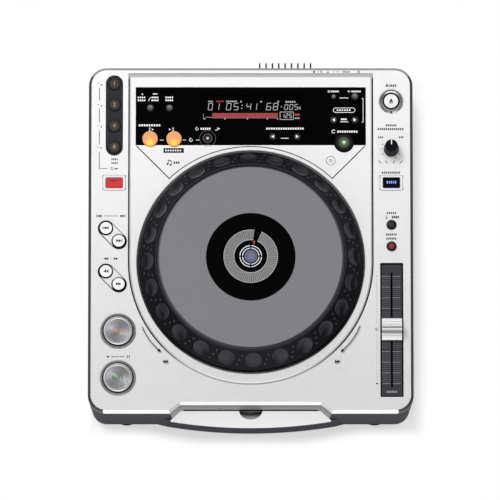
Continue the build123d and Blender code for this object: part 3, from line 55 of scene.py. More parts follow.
Loop = Sequence[Point]
Rule = Callable[[Vector, Vector], "Finish"]  # takes a face's middle, in millimetres, and its normal

STRIP = 82.8  # height of the side strips
DECK = 84.8  # height of the deck and of the window in it
LEVEL = 0.97  # a face whose normal rises more than this is level
LEANING = 0.3  # one that rises less than this is upright

log = logging.getLogger("disc_player")


def paint(red: int, green: int, blue: int) -> Colour:
    """A colour as a painter names it, 0 to 255, made linear.

    Args:
        red: Its red.
        green: Its green.
        blue: Its blue.

    Returns:
        The linear colour.
    """
    def linear(value: int) -> float:
        """One channel, made linear."""
        part = value / 255
        return part / 12.92 if part <= 0.04045 else ((part + 0.055) / 1.055) ** 2.4
    return linear(red), linear(green), linear(blue)


# ---------------------------------------------------------------------------- shader maths
class Sock:
    """A shader value, either a socket or a number, on which arithmetic adds Math nodes."""

    def __init__(self, graph: Graph, source: object) -> None:
        """Wraps a value.

        Args:
            graph: The graph that new nodes go into.
            source: An output socket, or a number.
        """
        self.graph = graph
        self.source = source

    def math(self, operation: str, *others: object) -> Sock:
        """Adds one Math node.

        Args:
            operation: The Math node's operation.
            others: The second and third values.

        Returns:
            The node's output.
        """
        inputs = dict(enumerate((self, *others)))
        return self.graph.pick(self.graph.node("ShaderNodeMath", {"operation": operation}, inputs))

    def __add__(self, other: object) -> Sock:
        """The sum."""
        return self.math("ADD", other)

    __radd__ = __add__

    def __sub__(self, other: object) -> Sock:
        """The difference."""
        return self.math("SUBTRACT", other)

    def __rsub__(self, other: object) -> Sock:
        """The difference, the other way round."""
        return Sock(self.graph, other).math("SUBTRACT", self)

    def __mul__(self, other: object) -> Sock:
        """The product."""
        return self.math("MULTIPLY", other)

    __rmul__ = __mul__

    def __neg__(self) -> Sock:
        """The value with its sign turned."""
        return self.math("MULTIPLY", -1.0)

    def __abs__(self) -> Sock:
        """The value without its sign."""
        return self.math("ABSOLUTE")

    def power(self, exponent: float) -> Sock:
        """The value raised to a power."""
        return self.math("POWER", exponent)

    def wave(self) -> Sock:
        """The sine of the value."""
        return self.math("SINE")

    def most(self, other: object) -> Sock:
        """The larger of two values."""
        return self.math("MAXIMUM", other)

    def step(self, start: float, end: float) -> Sock:
        """A smooth rise from 0 at start to 1 at end."""
        settings = {"interpolation_type": "SMOOTHSTEP"}
        return self.graph.pick(self.graph.node("ShaderNodeMapRange", settings, {0: self, 1: start, 2: end}))


class Graph:
    """The node tree of one material, or of the world."""

    def __init__(self, tree: bpy.types.NodeTree) -> None:
        """Takes over a tree."""
        self.tree = tree

    def node(self, kind: str, settings: Mapping[str, object] | None = None,
             inputs: Mapping[int | str, object] | None = None) -> bpy.types.Node:
        """Adds a node.

        Args:
            kind: The node's type.
            settings: Its own settings, which are made first; "stops" are a colour ramp's.
            inputs: Values or links by the socket's name or number.

        Returns:
            The new node.
        """
        made = self.tree.nodes.new(kind)
        for name, value in (settings or {}).items():
            if name == "stops":
                self.set_stops(made.color_ramp, value)
            else:
                setattr(made, name, value)
        for name, value in (inputs or {}).items():
            self.feed(made.inputs[name], value)
        return made

    @staticmethod
    def set_stops(ramp: bpy.types.ColorRamp, stops: Sequence[tuple[float, Colour]]) -> None:
        """Writes the stops of a colour ramp.

        Args:
            ramp: The ramp.
            stops: The place and colour of each stop.
        """
        while len(ramp.elements) < len(stops):
            ramp.elements.new(1.0)
        for element, (place, colour) in zip(ramp.elements, stops):
            element.position = place
            element.color = (*colour, 1.0)

    def feed(self, socket: bpy.types.NodeSocket, value: object) -> None:
        """Links a value to a socket, or sets it there.

        Args:
            socket: The input socket.
            value: A Sock, an output socket, a number, a colour or a vector.
        """
        source = value.source if isinstance(value, Sock) else value
        if isinstance(source, bpy.types.NodeSocket):
            self.tree.links.new(source, socket)
        elif isinstance(source, tuple) and socket.type == "RGBA":
            socket.default_value = (*source, 1.0)
        else:
            socket.default_value = source

    def pick(self, node: bpy.types.Node, output: int | str = 0) -> Sock:
        """One output of a node, ready for arithmetic."""
        return Sock(self, node.outputs[output])

    def place(self) -> tuple[Sock, Sock, Sock]:
        """Where the surface is, in millimetres, as the part was packed.

        Returns:
            The places along X, Y and Z.
        """
        where = self.node("ShaderNodeTexCoord")
        inputs = {0: where.outputs["Object"], "Scale": 1 / MM}
        scaled = self.node("ShaderNodeVectorMath", {"operation": "SCALE"}, inputs)
        parts = self.node("ShaderNodeSeparateXYZ", None, {0: scaled.outputs[0]})
        return self.pick(parts, 0), self.pick(parts, 1), self.pick(parts, 2)

    def radius(self, x: float, y: float) -> Sock:
        """The distance from an upright axis, in millimetres."""
        across, along, _ = self.place()
        return ((across - x).power(2.0) + (along - y).power(2.0)).power(0.5)

    def noise(self, size: float, detail: float = 2.0, stretch: Colour = (1.0, 1.0, 1.0)) -> Sock:
        """Noise whose blots are about size millimetres wide.

        Args:
            size: The width of a blot.
            detail: How many finer octaves there are.
            stretch: How many times finer the blots are along each axis.

        Returns:
            A value round one half.
        """
        where = self.node("ShaderNodeTexCoord")
        scale = tuple(1.0 / (size * MM) * part for part in stretch)
        inputs = {0: where.outputs["Object"], 1: scale}
        spread = self.node("ShaderNodeVectorMath", {"operation": "MULTIPLY"}, inputs)
        inputs = {0: spread.outputs[0], "Scale": 1.0, "Detail": detail}
        return self.pick(self.node("ShaderNodeTexNoise", None, inputs))

    def mix(self, factor: object, first: object, second: object) -> object:
        """A colour between two colours.

        Args:
            factor: 0 for the first, 1 for the second.
            first: A colour or a link.
            second: A colour or a link.

        Returns:
            The mixed colour's socket.
        """
        made = self.node("ShaderNodeMix", {"data_type": "RGBA"}, {0: factor, 6: first, 7: second})
        return made.outputs[2]

    def bump(self, height: Sock, normal: object = None) -> object:
        """A normal bent by a relief.

        Args:
            height: The relief, in millimetres.
            normal: A normal that is bent already.

        Returns:
            The bent normal's socket.
        """
        inputs: dict[int | str, object] = {"Height": height, "Distance": MM, "Strength": 1.0}
        if normal is not None:
            inputs["Normal"] = normal
        return self.node("ShaderNodeBump", None, inputs).outputs[0]


# ---------------------------------------------------------------------------- finishes
@dataclass(frozen=True)
class Finish:
    """What a surface is moulded, painted or plated in."""

    name: str
    colour: Colour
    roughness: float = 0.5
    metallic: float = 0.0
    coat: float = 0.0
    shine: float = 0.5  # how much a bare surface mirrors
    grain: float = 0.5  # width of the fine texture
    relief: float = 0.008  # its height
    mottle: float = 0.05  # how far the colour wanders
    patch: float = 14.0  # width of its blots
    wear: float = 0.12  # how far the gloss wanders
    glow: float = 0.0

    def tint(self, graph: Graph) -> object:
        """The colour over the surface."""
        blots = graph.noise(self.patch, 3.0)
        return graph.mix(blots, self.shade(1 - self.mottle), self.shade(1 + self.mottle))

    def shade(self, share: float) -> Colour:
        """The colour, darker or lighter."""
        red, green, blue = (min(1.0, part * share) for part in self.colour)
        return red, green, blue

    def height(self, graph: Graph) -> Sock:
        """The relief over the surface, in millimetres."""
        return graph.noise(self.grain, 2.0) * self.relief

    def gloss(self, graph: Graph) -> Sock:
        """The roughness over the surface."""
        low = self.roughness * (1 - self.wear)
        return graph.noise(self.patch * 0.4, 3.0) * (2 * self.wear * self.roughness) + low

    def finish(self, graph: Graph, shader: bpy.types.Node) -> None:
        """What a finish adds beyond colour, gloss and relief.

        Args:
            graph: The material's nodes.
            shader: The material's main node.
        """
        if self.glow:
            graph.feed(shader.inputs["Emission Color"], self.tint(graph))
            shader.inputs["Emission Strength"].default_value = self.glow

    def material(self) -> bpy.types.Material:
        """The material, made once for each name.

        Returns:
            The material.
        """
        label = f"{self.name}_surface"
        found = bpy.data.materials.get(label)
        if found:
            return found
        made = bpy.data.materials.new(label)
        made.use_nodes = True
        graph = Graph(made.node_tree)
        shader = made.node_tree.nodes["Principled BSDF"]
        graph.feed(shader.inputs["Base Color"], self.tint(graph))
        graph.feed(shader.inputs["Roughness"], self.gloss(graph))
        graph.feed(shader.inputs["Normal"], graph.bump(self.height(graph)))
        shader.inputs["Metallic"].default_value = self.metallic
        shader.inputs["Coat Weight"].default_value = self.coat
        shader.inputs["Specular IOR Level"].default_value = self.shine
        self.finish(graph, shader)
        return made


@dataclass(frozen=True)
class FlakePaint(Finish):
    """Metallic paint: fine flakes that catch the light one by one."""

    flake: float = 0.22
    painted_light_tones: Point = (1.0, 1.0)  # painted light and shade: how light the paint is made at the front and at the rear

    def tint(self, graph: Graph) -> object:
        """Flakes a little lighter and darker than the paint, with painted shade and light that change from
        the front to the rear.

        Args:
            graph: The material's nodes.

        Returns:
            The colour's socket.
        """
        sparkle = graph.noise(self.flake, 1.0) * 0.6 + graph.noise(self.patch, 3.0) * 0.4
        along = graph.place()[1].step(-190.0, 190.0)
        dull, bright = (graph.mix(along, *(self.shade(tone * swing) for tone in self.painted_light_tones))
                        for swing in (1 - self.mottle, 1 + self.mottle))
        return graph.mix(sparkle, dull, bright)


class Axis(Enum):
    """The three axes of the player."""

    ACROSS = 0
    ALONG = 1
    UP = 2


@dataclass(frozen=True)
class Graded(Finish):
    """A finish that passes into another tone along an axis; here it paints shade and light by place."""

    rear: Colour = (1.0, 1.0, 1.0)
    span: Point = (-100.0, 80.0)
    axis: Axis = Axis.ALONG
    near: Colour = (1.0, 1.0, 1.0)
    near_span: Point = (-2000.0, -1900.0)  # the way the near tone passes into the first one

    def tint(self, graph: Graph) -> object:
        """The near tone, the first and the last, and fine blots on all.

        Args:
            graph: The material's nodes.

        Returns:
            The colour's socket.
        """
        where = graph.place()[self.axis.value]
        blot = (graph.noise(self.patch, 3.0) - 0.5) * 0.2
        far = graph.mix(where.step(*self.span) + blot, self.colour, self.rear)
        return graph.mix(where.step(*self.near_span), self.near, far)


@dataclass(frozen=True)
class Round(Finish):
    """A finish that changes round an upright axis."""

    x: float = 0.0
    y: float = 0.0

    @classmethod
    def over(cls, spot: Spot, name: str, colour: Colour, roughness: float, **values: object) -> Self:
        """The finish of a round part, about the part's own middle.

        Args:
            spot: Where the part is.
            name: The finish's name.
            colour: Its colour.
            roughness: Its roughness.
            values: Its other values, by name.

        Returns:
            The finish.
        """
        return cls(name, colour, roughness, x=spot.x, y=spot.y, **values)


@dataclass(frozen=True)
class Spun(Round):
    """Metal turned on a lathe, with fine rings round an axis."""

    pitch: float = 0.4
    band: float = 2.6
    groove: float = 0.012
    contrast: float = 0.08

    def tint(self, graph: Graph) -> object:
        """Rings a little lighter and darker, from the tool's feed.

        Args:
            graph: The material's nodes.

        Returns:
            The colour's socket.
        """
        away = graph.radius(self.x, self.y)
        broad, fine = ((away * (math.tau / band)).wave() * 0.25 for band in (self.band, self.band * 0.37))
        blotch = graph.noise(self.patch, 3.0) - 0.5
        dull, bright = self.shade(1 - self.contrast), self.shade(1 + self.contrast)
        return graph.mix(broad + fine + blotch * 0.6 + 0.5, dull, bright)

    def height(self, graph: Graph) -> Sock:
        """The grooves themselves."""
        turns = (graph.radius(self.x, self.y) * (math.tau / self.pitch)).wave()
        return turns * self.groove + graph.noise(self.grain, 2.0) * self.relief


@dataclass(frozen=True)
class Brushed(Finish):
    """Sheet metal with a grain along X."""

    def height(self, graph: Graph) -> Sock:
        """Long thin scratches."""
        return graph.noise(self.grain, 2.0, (0.04, 1.0, 1.0)) * self.relief


@dataclass(frozen=True)
class Board(Finish):
    """A printed circuit board: green lacquer with paler copper runs under it."""

    def tint(self, graph: Graph) -> object:
        """Copper runs on a grid, broken up by noise.

        Args:
            graph: The material's nodes.

        Returns:
            The colour's socket.
        """
        across, along, _ = graph.place()
        lines = (across * 2.2).wave().most((along * 1.7).wave()).step(0.86, 0.97)
        kept = lines * graph.noise(9.0, 1.0).step(0.45, 0.5)
        return graph.mix(kept, self.colour, self.shade(2.4))


@dataclass(frozen=True)
class RoundKey(Round):
    """A round key: a tone in the middle, another at the rim, and a domed top; on several keys the lighter
    middle is a painted highlight.
    """

    core: Colour = (1.0, 1.0, 1.0)
    start: float = 0.0  # radius where the middle's tone begins to fade
    spread: float = 5.0  # radius where the rim's tone is reached
    dome: float = 0.0  # how steeply the top falls away, per millimetre of radius
    streak: float = 0.12  # how uneven the middle is

    def tint(self, graph: Graph) -> object:
        """The middle's tone and the rim's."""
        middle = 1.0 - graph.radius(self.x, self.y).step(self.start, self.spread)
        return graph.mix(middle + (graph.noise(1.2, 2.0) - 0.5) * self.streak, self.colour, self.core)

    def height(self, graph: Graph) -> Sock:
        """The dome, and a fine grain."""
        fall = graph.radius(self.x, self.y).power(2.0) * (-self.dome / 2)
        return fall + graph.noise(self.grain, 2.0) * self.relief


@dataclass(frozen=True)
class Smoked(Finish):
    """A smoked window: black behind, and clearer over a lit screen."""

    middle: Point = (0.0, 0.0)
    half: Point = (0.0, 0.0)
    clear: float = 0.85

    def finish(self, graph: Graph, shader: bpy.types.Node) -> None:
        """Opens the screen's area.

        Args:
            graph: The material's nodes.
            shader: The material's main node.
        """
        across, along, _ = graph.place()
        inside_x = 1.0 - abs(across - self.middle[0]).step(self.half[0] - 0.2, self.half[0])
        inside_y = 1.0 - abs(along - self.middle[1]).step(self.half[1] - 0.2, self.half[1])
        graph.feed(shader.inputs["Alpha"], 1.0 - inside_x * inside_y * self.clear)


@dataclass(frozen=True)
class TintedDisc(Round):
    """A round smoked window, clearer in its middle."""

    radius: float = 28.0
    clear: float = 0.85

    def finish(self, graph: Graph, shader: bpy.types.Node) -> None:
        """Opens the middle."""
        inside = 1.0 - graph.radius(self.x, self.y).step(self.radius - 0.3, self.radius)
        graph.feed(shader.inputs["Alpha"], 1.0 - inside * self.clear)


def lit(name: str, colour: Colour, glow: float, mottle: float = 0.06, patch: float = 3.0) -> Finish:
    """What a lamp or a lit mark is made in."""
    return Finish(name, colour, relief=0.001, glow=glow, mottle=mottle, patch=patch)


# Silver paint, with painted shade towards the front and painted light towards the rear.
SILVER_AND_PAINTED_LIGHT = FlakePaint("silver_paint", paint(229, 229, 230), 0.36, 0.55, relief=0.0015, grain=0.4, mottle=0.03,
                    painted_light_tones=(0.86, 1.16))
# White paint of the mouth's lip, also laid as a painted highlight on the front of the case's bevel and on the
# slope over the mouth.
LIP_WHITE_AND_PAINTED_HIGHLIGHT = FlakePaint("lip_paint_and_painted_highlight", paint(252, 252, 252), 0.4, 0.0, relief=0.001, grain=0.4, mottle=0.02)
# Painted shade on the mouth's walls: grey, darker towards the top.
MOUTH_PAINTED_SHADE = Graded("mouth_painted_shade", paint(118, 118, 123), 0.34, 0.4, relief=0.001, mottle=0.04,
                    rear=paint(70, 70, 72), span=(58.0, 78.0), axis=Axis.UP)
# Painted shade in the finger scoop: white at the front, darkening towards the wall behind it.
SCOOP_PAINTED_SHADE = Graded("scoop_painted_shade", paint(252, 252, 252), 0.5, relief=0.001, mottle=0.04,
                    rear=paint(24, 24, 27), span=(-165.5, -159.8))
# Painted shade: the silver bevel at the sides, made dark.
EDGE_PAINTED_SHADE = FlakePaint("edge_painted_shade", paint(74, 74, 76), 0.4, 0.5, shine=0.3, relief=0.001, mottle=0.05)
# Painted shade on the slopes and chamfers of the key rings, collars and frames.
COLLAR_EDGE_PAINTED_SHADE = FlakePaint("collar_edge_painted_shade", paint(44, 44, 46), 0.4, 0.4, shine=0.3, relief=0.001, mottle=0.05)
# Painted half shade: the silver bevel at the rear and the walls of the notch over the mouth, made grey.
EDGE_PAINTED_HALF_SHADE = FlakePaint("edge_painted_half_shade", paint(150, 150, 152), 0.4, 0.5, relief=0.001, mottle=0.04)
# Painted shade and light on the collar round the jog wheel: dark at the front, lighter towards the rear.
COLLAR_PAINTED_SHADE = Graded("deck_collar_painted_shade", paint(60, 60, 64), 0.4, 0.3, relief=0.001, rear=paint(160, 160, 162),
                span=(-120.0, 70.0))
# Painted light on the collar's front part: light grey at the very front, darker further back.
COLLAR_FRONT_PAINTED_LIGHT = Graded("collar_front", paint(176, 176, 178), 0.4, 0.3, relief=0.001, rear=paint(64, 64, 68),
                      span=(-127.0, -100.0))
# The groove round the deck: black in it, with painted light on its walls at the rear and at the front.
GROOVE_PAINTED_LIGHT = Graded("deck_groove_painted_light", paint(10, 10, 11), 0.5, shine=0.05, relief=0.002, rear=paint(196, 196, 198),
                span=(153.0, 157.5), near=paint(196, 196, 198), near_span=(-130.0, -98.0))
# Painted shade: the deck's rear slope in a darker copy of the silver.
DECK_SLOPE_PAINTED_SHADE = FlakePaint("deck_slope_painted_shade", paint(196, 196, 197), 0.38, 0.5, relief=0.0015, mottle=0.03)
DARK_CASE = Finish("dark_case", paint(40, 38, 50), 0.46, shine=0.02, grain=0.5, relief=0.012)
# Black for hidden faces; on key flanges and on the walls of holes and gaps it is painted shade.
INNER_BLACK_AND_PAINTED_SHADE = Finish("inner_black_and_painted_shade", paint(13, 13, 14), 0.6, shine=0.1, grain=0.8, relief=0.01)
RUBBER = Finish("foot_rubber", paint(26, 26, 27), 0.82, shine=0.2, grain=0.6, relief=0.02, mottle=0.15)
PLATED = Brushed("plated_steel", paint(190, 190, 186), 0.38, 0.9, grain=0.3, relief=0.006, mottle=0.12,
                 patch=9.0)
BLACK_STEEL = Finish("black_steel", paint(34, 34, 36), 0.5, 0.1, shine=0.3, grain=0.35, relief=0.012)
BOARD = Board("circuit_board", paint(22, 92, 52), 0.35, coat=0.3, relief=0.004)
CHIP = Finish("chip_black", paint(34, 34, 36), 0.55, grain=0.3, relief=0.006)
LACQUER_YELLOW = Finish("transformer_wrap", paint(206, 168, 60), 0.4, grain=1.0, relief=0.02)
SOCKET = Finish("socket_black", paint(24, 24, 26), 0.5, shine=0.4, grain=0.4, relief=0.008)
SOCKET_RED = Finish("socket_red", paint(170, 30, 34), 0.4, relief=0.003)
SOCKET_WHITE = Finish("socket_white", paint(225, 225, 222), 0.4, relief=0.003)
SOCKET_ORANGE = Finish("socket_orange", paint(222, 130, 40), 0.4, relief=0.003)
NICKEL = Finish("nickel", paint(200, 198, 190), 0.22, 1.0, grain=0.5, relief=0.002)
GRIP = Finish("grip_ring", paint(5, 5, 15), 0.34, shine=0.12, grain=0.45, relief=0.004, mottle=0.06)
# Painted light: the dimples in a lighter copy of the grip's colour, so that they stand out.
DIMPLE_PAINTED_LIGHT = Finish("grip_dimples_painted_light", paint(8, 8, 24), 0.28, shine=0.4, grain=0.45, relief=0.003, mottle=0.06)
GRIP_LIP = Finish("grip_lip", paint(5, 5, 7), 0.3, shine=0.1, grain=0.45, relief=0.003)
# Painted highlight: the pips in a lighter grey than the grip they stand on.
PIP_PAINTED_HIGHLIGHT = Finish("grip_pips_painted_highlight", paint(70, 70, 82), 0.3, 0.3, grain=0.3, relief=0.002)
# Painted highlight: the flat top of the grip's black lip, made lighter than its rounded edges.
RING_LIP_PAINTED_HIGHLIGHT = Finish("ring_lip_painted_highlight", paint(34, 34, 40), 0.3, shine=0.3, relief=0.002)
CREAM_PLASTIC = Finish("gear_plastic", paint(205, 202, 190), 0.5, grain=0.5, relief=0.006)
GREY_PLASTIC = Finish("inner_grey", paint(64, 65, 68), 0.55, grain=0.6, relief=0.01)
WHITE_KEY = Finish("white_key", paint(238, 238, 238), 0.36, grain=0.4, relief=0.002, mottle=0.02)
BLACK_KEY = Finish("black_key", paint(7, 7, 9), 0.5, shine=0.08, grain=0.4, relief=0.004)
KNOB_BLACK = Finish("knob_black", paint(10, 10, 17), 0.5, shine=0.06, grain=0.6, relief=0.01)
GLOSS_BLACK = Finish("gloss_black", paint(5, 5, 6), 0.12, shine=0.08, grain=0.8, relief=0.0008, patch=30.0)
CHROME = Finish("chrome", paint(205, 205, 207), 0.2, 1.0, grain=0.8, relief=0.0006, mottle=0.02)
PLATE_DARK = Finish("plate_dark", paint(52, 52, 58), 0.5, shine=0.15, grain=0.4, relief=0.006)
PILL_DARK = Finish("pill_dark", paint(40, 38, 45), 0.45, shine=0.15, grain=0.4, relief=0.005)
FADER_SILVER = FlakePaint("fader_silver", paint(232, 232, 232), 0.3, 0.5, relief=0.001, mottle=0.03)
# Painted shade on the front side of the fader cap's ridge.
FADER_PAINTED_SHADE = FlakePaint("fader_painted_shade", paint(150, 150, 152), 0.3, 0.6, relief=0.001, mottle=0.03)
BLACK_INK = Finish("black_ink", paint(22, 22, 24), 0.55, shine=0.2, relief=0.002, patch=5.0, mottle=0.1)
# Painted shadow: near black bars along the fader plate's edges, under the walls of its recess.
RIM_PAINTED_SHADOW = Finish("rim_painted_shadow", paint(8, 8, 9), 0.55, shine=0.1, relief=0.002, patch=5.0, mottle=0.1)
GREY_INK = Finish("grey_ink", paint(112, 112, 116), 0.55, shine=0.2, relief=0.002, patch=5.0, mottle=0.1)
# White print that also glows a little: painted light, since print is no lamp.
WHITE_INK_PAINTED_GLOW = Finish("white_ink_painted_glow", paint(240, 240, 240), 0.5, relief=0.002, patch=5.0, mottle=0.04, glow=0.1)
SCALE_INK = Finish("scale_ink", paint(138, 140, 144), 0.5, relief=0.002, patch=5.0, mottle=0.08)
LIT_WHITE = lit("lit_white", paint(172, 175, 176), 0.55, 0.12)
LIT_RED = lit("lit_red", paint(196, 58, 52), 0.4, 0.15)
CUE_AMBER = lit("cue_amber", paint(176, 128, 52), 0.0)
PALE_AMBER = lit("pale_amber", paint(178, 152, 120), 0.12, 0.2, 1.4)
GREEN = lit("lit_green", paint(44, 128, 52), 0.1)
RING_METAL = FlakePaint("ring_metal", paint(150, 150, 154), 0.28, 0.7, relief=0.001, mottle=0.04)
BLUE = lit("lit_blue", paint(120, 134, 222), 0.5)


# ---------------------------------------------------------------------------- mesh work
class Solid:
    """Gathers closed shapes, in millimetres, into one mesh."""

    def __init__(self, base: Matrix | None = None) -> None:
        """Starts empty, in a plane of its own when base is given.

        Args:
            base: The plane, or nothing for the player's own axes.
        """
        self.base = base or Matrix.Identity(4)
        self.points: list[Vector] = []
        self.faces: list[tuple[int, ...]] = []

    def add(self, points: Iterable[Sequence[float]], faces: Iterable[Sequence[int]]) -> Self:
        """Adds points, and faces that count from the first of them.

        Args:
            points: The points.
            faces: The corners of each face, by number.

        Returns:
            This solid.
        """
        start = len(self.points)
        self.points += [self.base @ Vector(p) for p in points]
        self.faces += [tuple(start + corner for corner in face) for face in faces]
        return self

    def prism(self, loop: Loop, low: float = -FILM, high: float = FILM) -> Self:
        """Adds a plate whose outline runs anticlockwise.

        Args:
            loop: The outline.
            low: The height of its underside.
            high: The height of its top.

        Returns:
            This solid.
        """
        count = len(loop)
        points = [(x, y, z) for z in (low, high) for x, y in loop]
        faces: list[tuple[int, ...]] = [tuple(range(count - 1, -1, -1)), tuple(range(count, 2 * count))]
        faces += [(i, (i + 1) % count, count + (i + 1) % count, count + i) for i in range(count)]
        return self.add(points, faces)

    def bar(self, x: float, y: float, width: float, depth: float, low: float = -FILM,
            high: float = FILM) -> Self:
        """Adds an upright rectangle about a middle."""
        a, b = width / 2, depth / 2
        return self.prism([(x - a, y - b), (x + a, y - b), (x + a, y + b), (x - a, y + b)], low, high)

    def stroke(self, path: Loop, width: float) -> Self:
        """Adds a line of even width through points, with mitred corners.

        Args:
            path: The points of its middle.
            width: The line's width.

        Returns:
            This solid.
        """
        line = [Vector(p) for p in path]
        sides: list[Vector] = []
        for i, here in enumerate(line):
            before = (here - line[i - 1]).normalized() if i else (line[1] - here).normalized()
            after = (line[i + 1] - here).normalized() if i < len(line) - 1 else before
            along = (before + after).normalized()
            sides.append(Vector((-along.y, along.x)) * (width / 2 / max(0.4, along.dot(before))))
        right = [tuple(here - side) for here, side in zip(line, sides)]
        left = [tuple(here + side) for here, side in zip(line, sides)]
        return self.prism(right + left[::-1])

    def arc(self, x: float, y: float, radius: float, width: float, start: float, end: float,
            pieces: int = 0) -> Self:
        """Adds an open arc, from one angle anticlockwise to another, in degrees.

        Args:
            x: Its middle.
            y: Its middle.
            radius: The radius of the line's middle.
            width: The line's width.
            start: The angle where it starts.
            end: The angle where it ends.
            pieces: How many straight pieces it has, or 0 for one every six degrees.

        Returns:
            This solid.
        """
        count = pieces or max(6, int(abs(end - start) / 6))
        turns = [math.radians(start + (end - start) * i / count) for i in range(count + 1)]
        outer, inner = ([(x + edge * math.cos(t), y + edge * math.sin(t)) for t in turns]
                        for edge in (radius + width / 2, radius - width / 2))
        for i in range(count):
            self.prism([inner[i], outer[i], outer[i + 1], inner[i + 1]])
        return self

    def disc(self, x: float, y: float, radius: float, count: int = 40) -> Self:
        """Adds a round plate."""
        turns = [math.tau * i / count for i in range(count)]
        return self.prism([(x + radius * math.cos(t), y + radius * math.sin(t)) for t in turns])

    def triangle(self, x: float, y: float, size: float, turn: float = 0.0, squat: float = 0.9) -> Self:
        """Adds an arrow head that points along X when turn is 0.

        Args:
            x: Its middle.
            y: Its middle.
            size: Its length.
            turn: Which way it points, in degrees.
            squat: Its width, as a share of its length.

        Returns:
            This solid.
        """
        c, s = math.cos(math.radians(turn)), math.sin(math.radians(turn))
        shape = ((-size / 2, -size * squat / 2), (size / 2, 0.0), (-size / 2, size * squat / 2))
        return self.prism([(x + a * c - b * s, y + a * s + b * c) for a, b in shape])

    def dome(self, middle: Vector, axis: Vector, radius: float, rise: float) -> Self:
        """Adds a low dome that is sunk a little into what carries it.

        Args:
            middle: The middle of its foot.
            axis: Which way it stands.
            radius: Its radius.
            rise: Its height.

        Returns:
            This solid.
        """
        side = axis.orthogonal().normalized()
        other = axis.cross(side)
        count, rings = 12, ((1.0, -0.6), (1.0, 0.0), (0.8, 0.6), (0.45, 0.92))
        turns = [math.tau * i / count for i in range(count)]
        points = [middle + (side * math.cos(t) + other * math.sin(t)) * radius * wide + axis * rise * up
                  for wide, up in rings for t in turns]
        points.append(middle + axis * rise)
        faces: list[tuple[int, ...]] = [tuple(range(count - 1, -1, -1))]
        for ring in range(len(rings) - 1):
            for i in range(count):
                a, b = ring * count + i, ring * count + (i + 1) % count
                faces.append((a, b, b + count, a + count))
        last = (len(rings) - 1) * count
        faces += [(last + i, last + (i + 1) % count, len(points) - 1) for i in range(count)]
        return self.add(points, faces)

    def figures(self, text: str, x: float, y: float, tall: float) -> Self:
        """Adds plain figures about a middle.

        Args:
            text: The figures.
            x: The middle.
            y: The middle.
            tall: Their height.

        Returns:
            This solid.
        """
        curve = bpy.data.curves.new("figures", "FONT")
        curve.body, curve.size, curve.extrude, curve.resolution_u = text, tall * 1.38, FILM, 3
        curve.align_x, curve.align_y = "CENTER", "CENTER"
        holder = bpy.data.objects.new("figures", curve)
        mesh = bpy.data.meshes.new_from_object(holder)
        points = [(v.co.x + x, v.co.y + y, v.co.z) for v in mesh.vertices]
        self.add(points, [tuple(face.vertices) for face in mesh.polygons])
        bpy.data.objects.remove(holder)
        bpy.data.curves.remove(curve)
        bpy.data.meshes.remove(mesh)
        return self

    def piece(self, name: str, body: str, finish: Finish, slot: str,
              smooth: bool = False) -> bpy.types.Object:
        """Writes the mesh as a piece that rides on a body.

        Args:
            name: The piece's name.
            body: The body that it rides on.
            finish: Its finish.
            slot: Not used.
            smooth: Whether it is shaded smooth.

        Returns:
            The new object.
        """
        mesh = bpy.data.meshes.new(name)
        mesh.from_pydata([tuple(p * MM) for p in self.points], [], self.faces)
        mesh.validate()
        mesh.materials.append(finish.material())
        if smooth:
            mesh.polygons.foreach_set("use_smooth", [True] * len(mesh.polygons))
        made = bpy.data.objects.new(name, mesh)
        bpy.context.scene.collection.objects.link(made)
        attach(made, body)
        log.info("%s: %d faces on %s", name, len(mesh.polygons), body)
        return made


def up_to(x: float, y: float, z: float) -> Matrix:
    """A plane that faces up, at a height."""
    return Matrix.Translation((x, y, z))


def facing_rear(x: float, y: float, z: float) -> Matrix:
    """A plane that faces the rear: its X runs to the viewer's right there, its Y up."""
    return Matrix.Translation((x, y, z)) @ Matrix(((-1, 0, 0, 0), (0, 0, 1, 0), (0, 1, 0, 0), (0, 0, 0, 1)))


@dataclass(frozen=True)
class Spot:
    """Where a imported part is: the middle of its plan and its top, in millimetres."""

    x: float
    y: float
    top: float
    low: float
    half_width: float

    @classmethod
    def of(cls, node: str) -> Spot:
        """Reads a part's place from the frame.

        Args:
            node: The part's name.

        Returns:
            Its place.
        """
        low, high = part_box(node)
        middle = (low + high) / 2 / MM
        return cls(middle.x, middle.y, high.z / MM, low.z / MM, high.x / MM - middle.x)

    def sheet(self, lift: float = 0.0) -> Print:
        """Bare marks on the part's top."""
        return Print(up_to(self.x, self.y, self.top + lift))


def dress(node: str, *finishes: Finish, rule: Rule | None = None) -> None:
    """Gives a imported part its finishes.

    Args:
        node: The part's name.
        finishes: Every finish that the part has.
        rule: Picks the finish of a face; without it, every face has the first one.
    """
    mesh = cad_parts[node].data
    mesh.materials.clear()
    for finish in finishes:
        mesh.materials.append(finish.material())
    for face in mesh.polygons:
        picked = rule(Vector(face.center) / MM, Vector(face.normal)) if rule else finishes[0]
        face.material_index = finishes.index(picked)
    log.info("%s: %s", node, ", ".join(finish.name for finish in finishes))


def above(height: float, cap: Finish, rest: Finish = INNER_BLACK_AND_PAINTED_SHADE) -> Rule:
    """A rule for one finish above a height and another below it."""
    return lambda at, normal: cap if at.z > height else rest


def facing_up(top: Finish, height: float = 0.0) -> Rule:
    """A rule for one finish on what faces up above a height, and black on the rest."""
    return lambda at, normal: top if normal.z > LEANING and at.z > height else INNER_BLACK_AND_PAINTED_SHADE


def dress_key(name: str, cap: Finish, height: float) -> None:
    """Gives a key its finish above a height, and black below it, as painted shade in the gap round the key.
    """
    dress(name, cap, INNER_BLACK_AND_PAINTED_SHADE, rule=above(height, cap))


def away(at: Vector, x: float, y: float) -> float:
    """How far a point is from an upright axis."""
    return math.hypot(at.x - x, at.y - y)


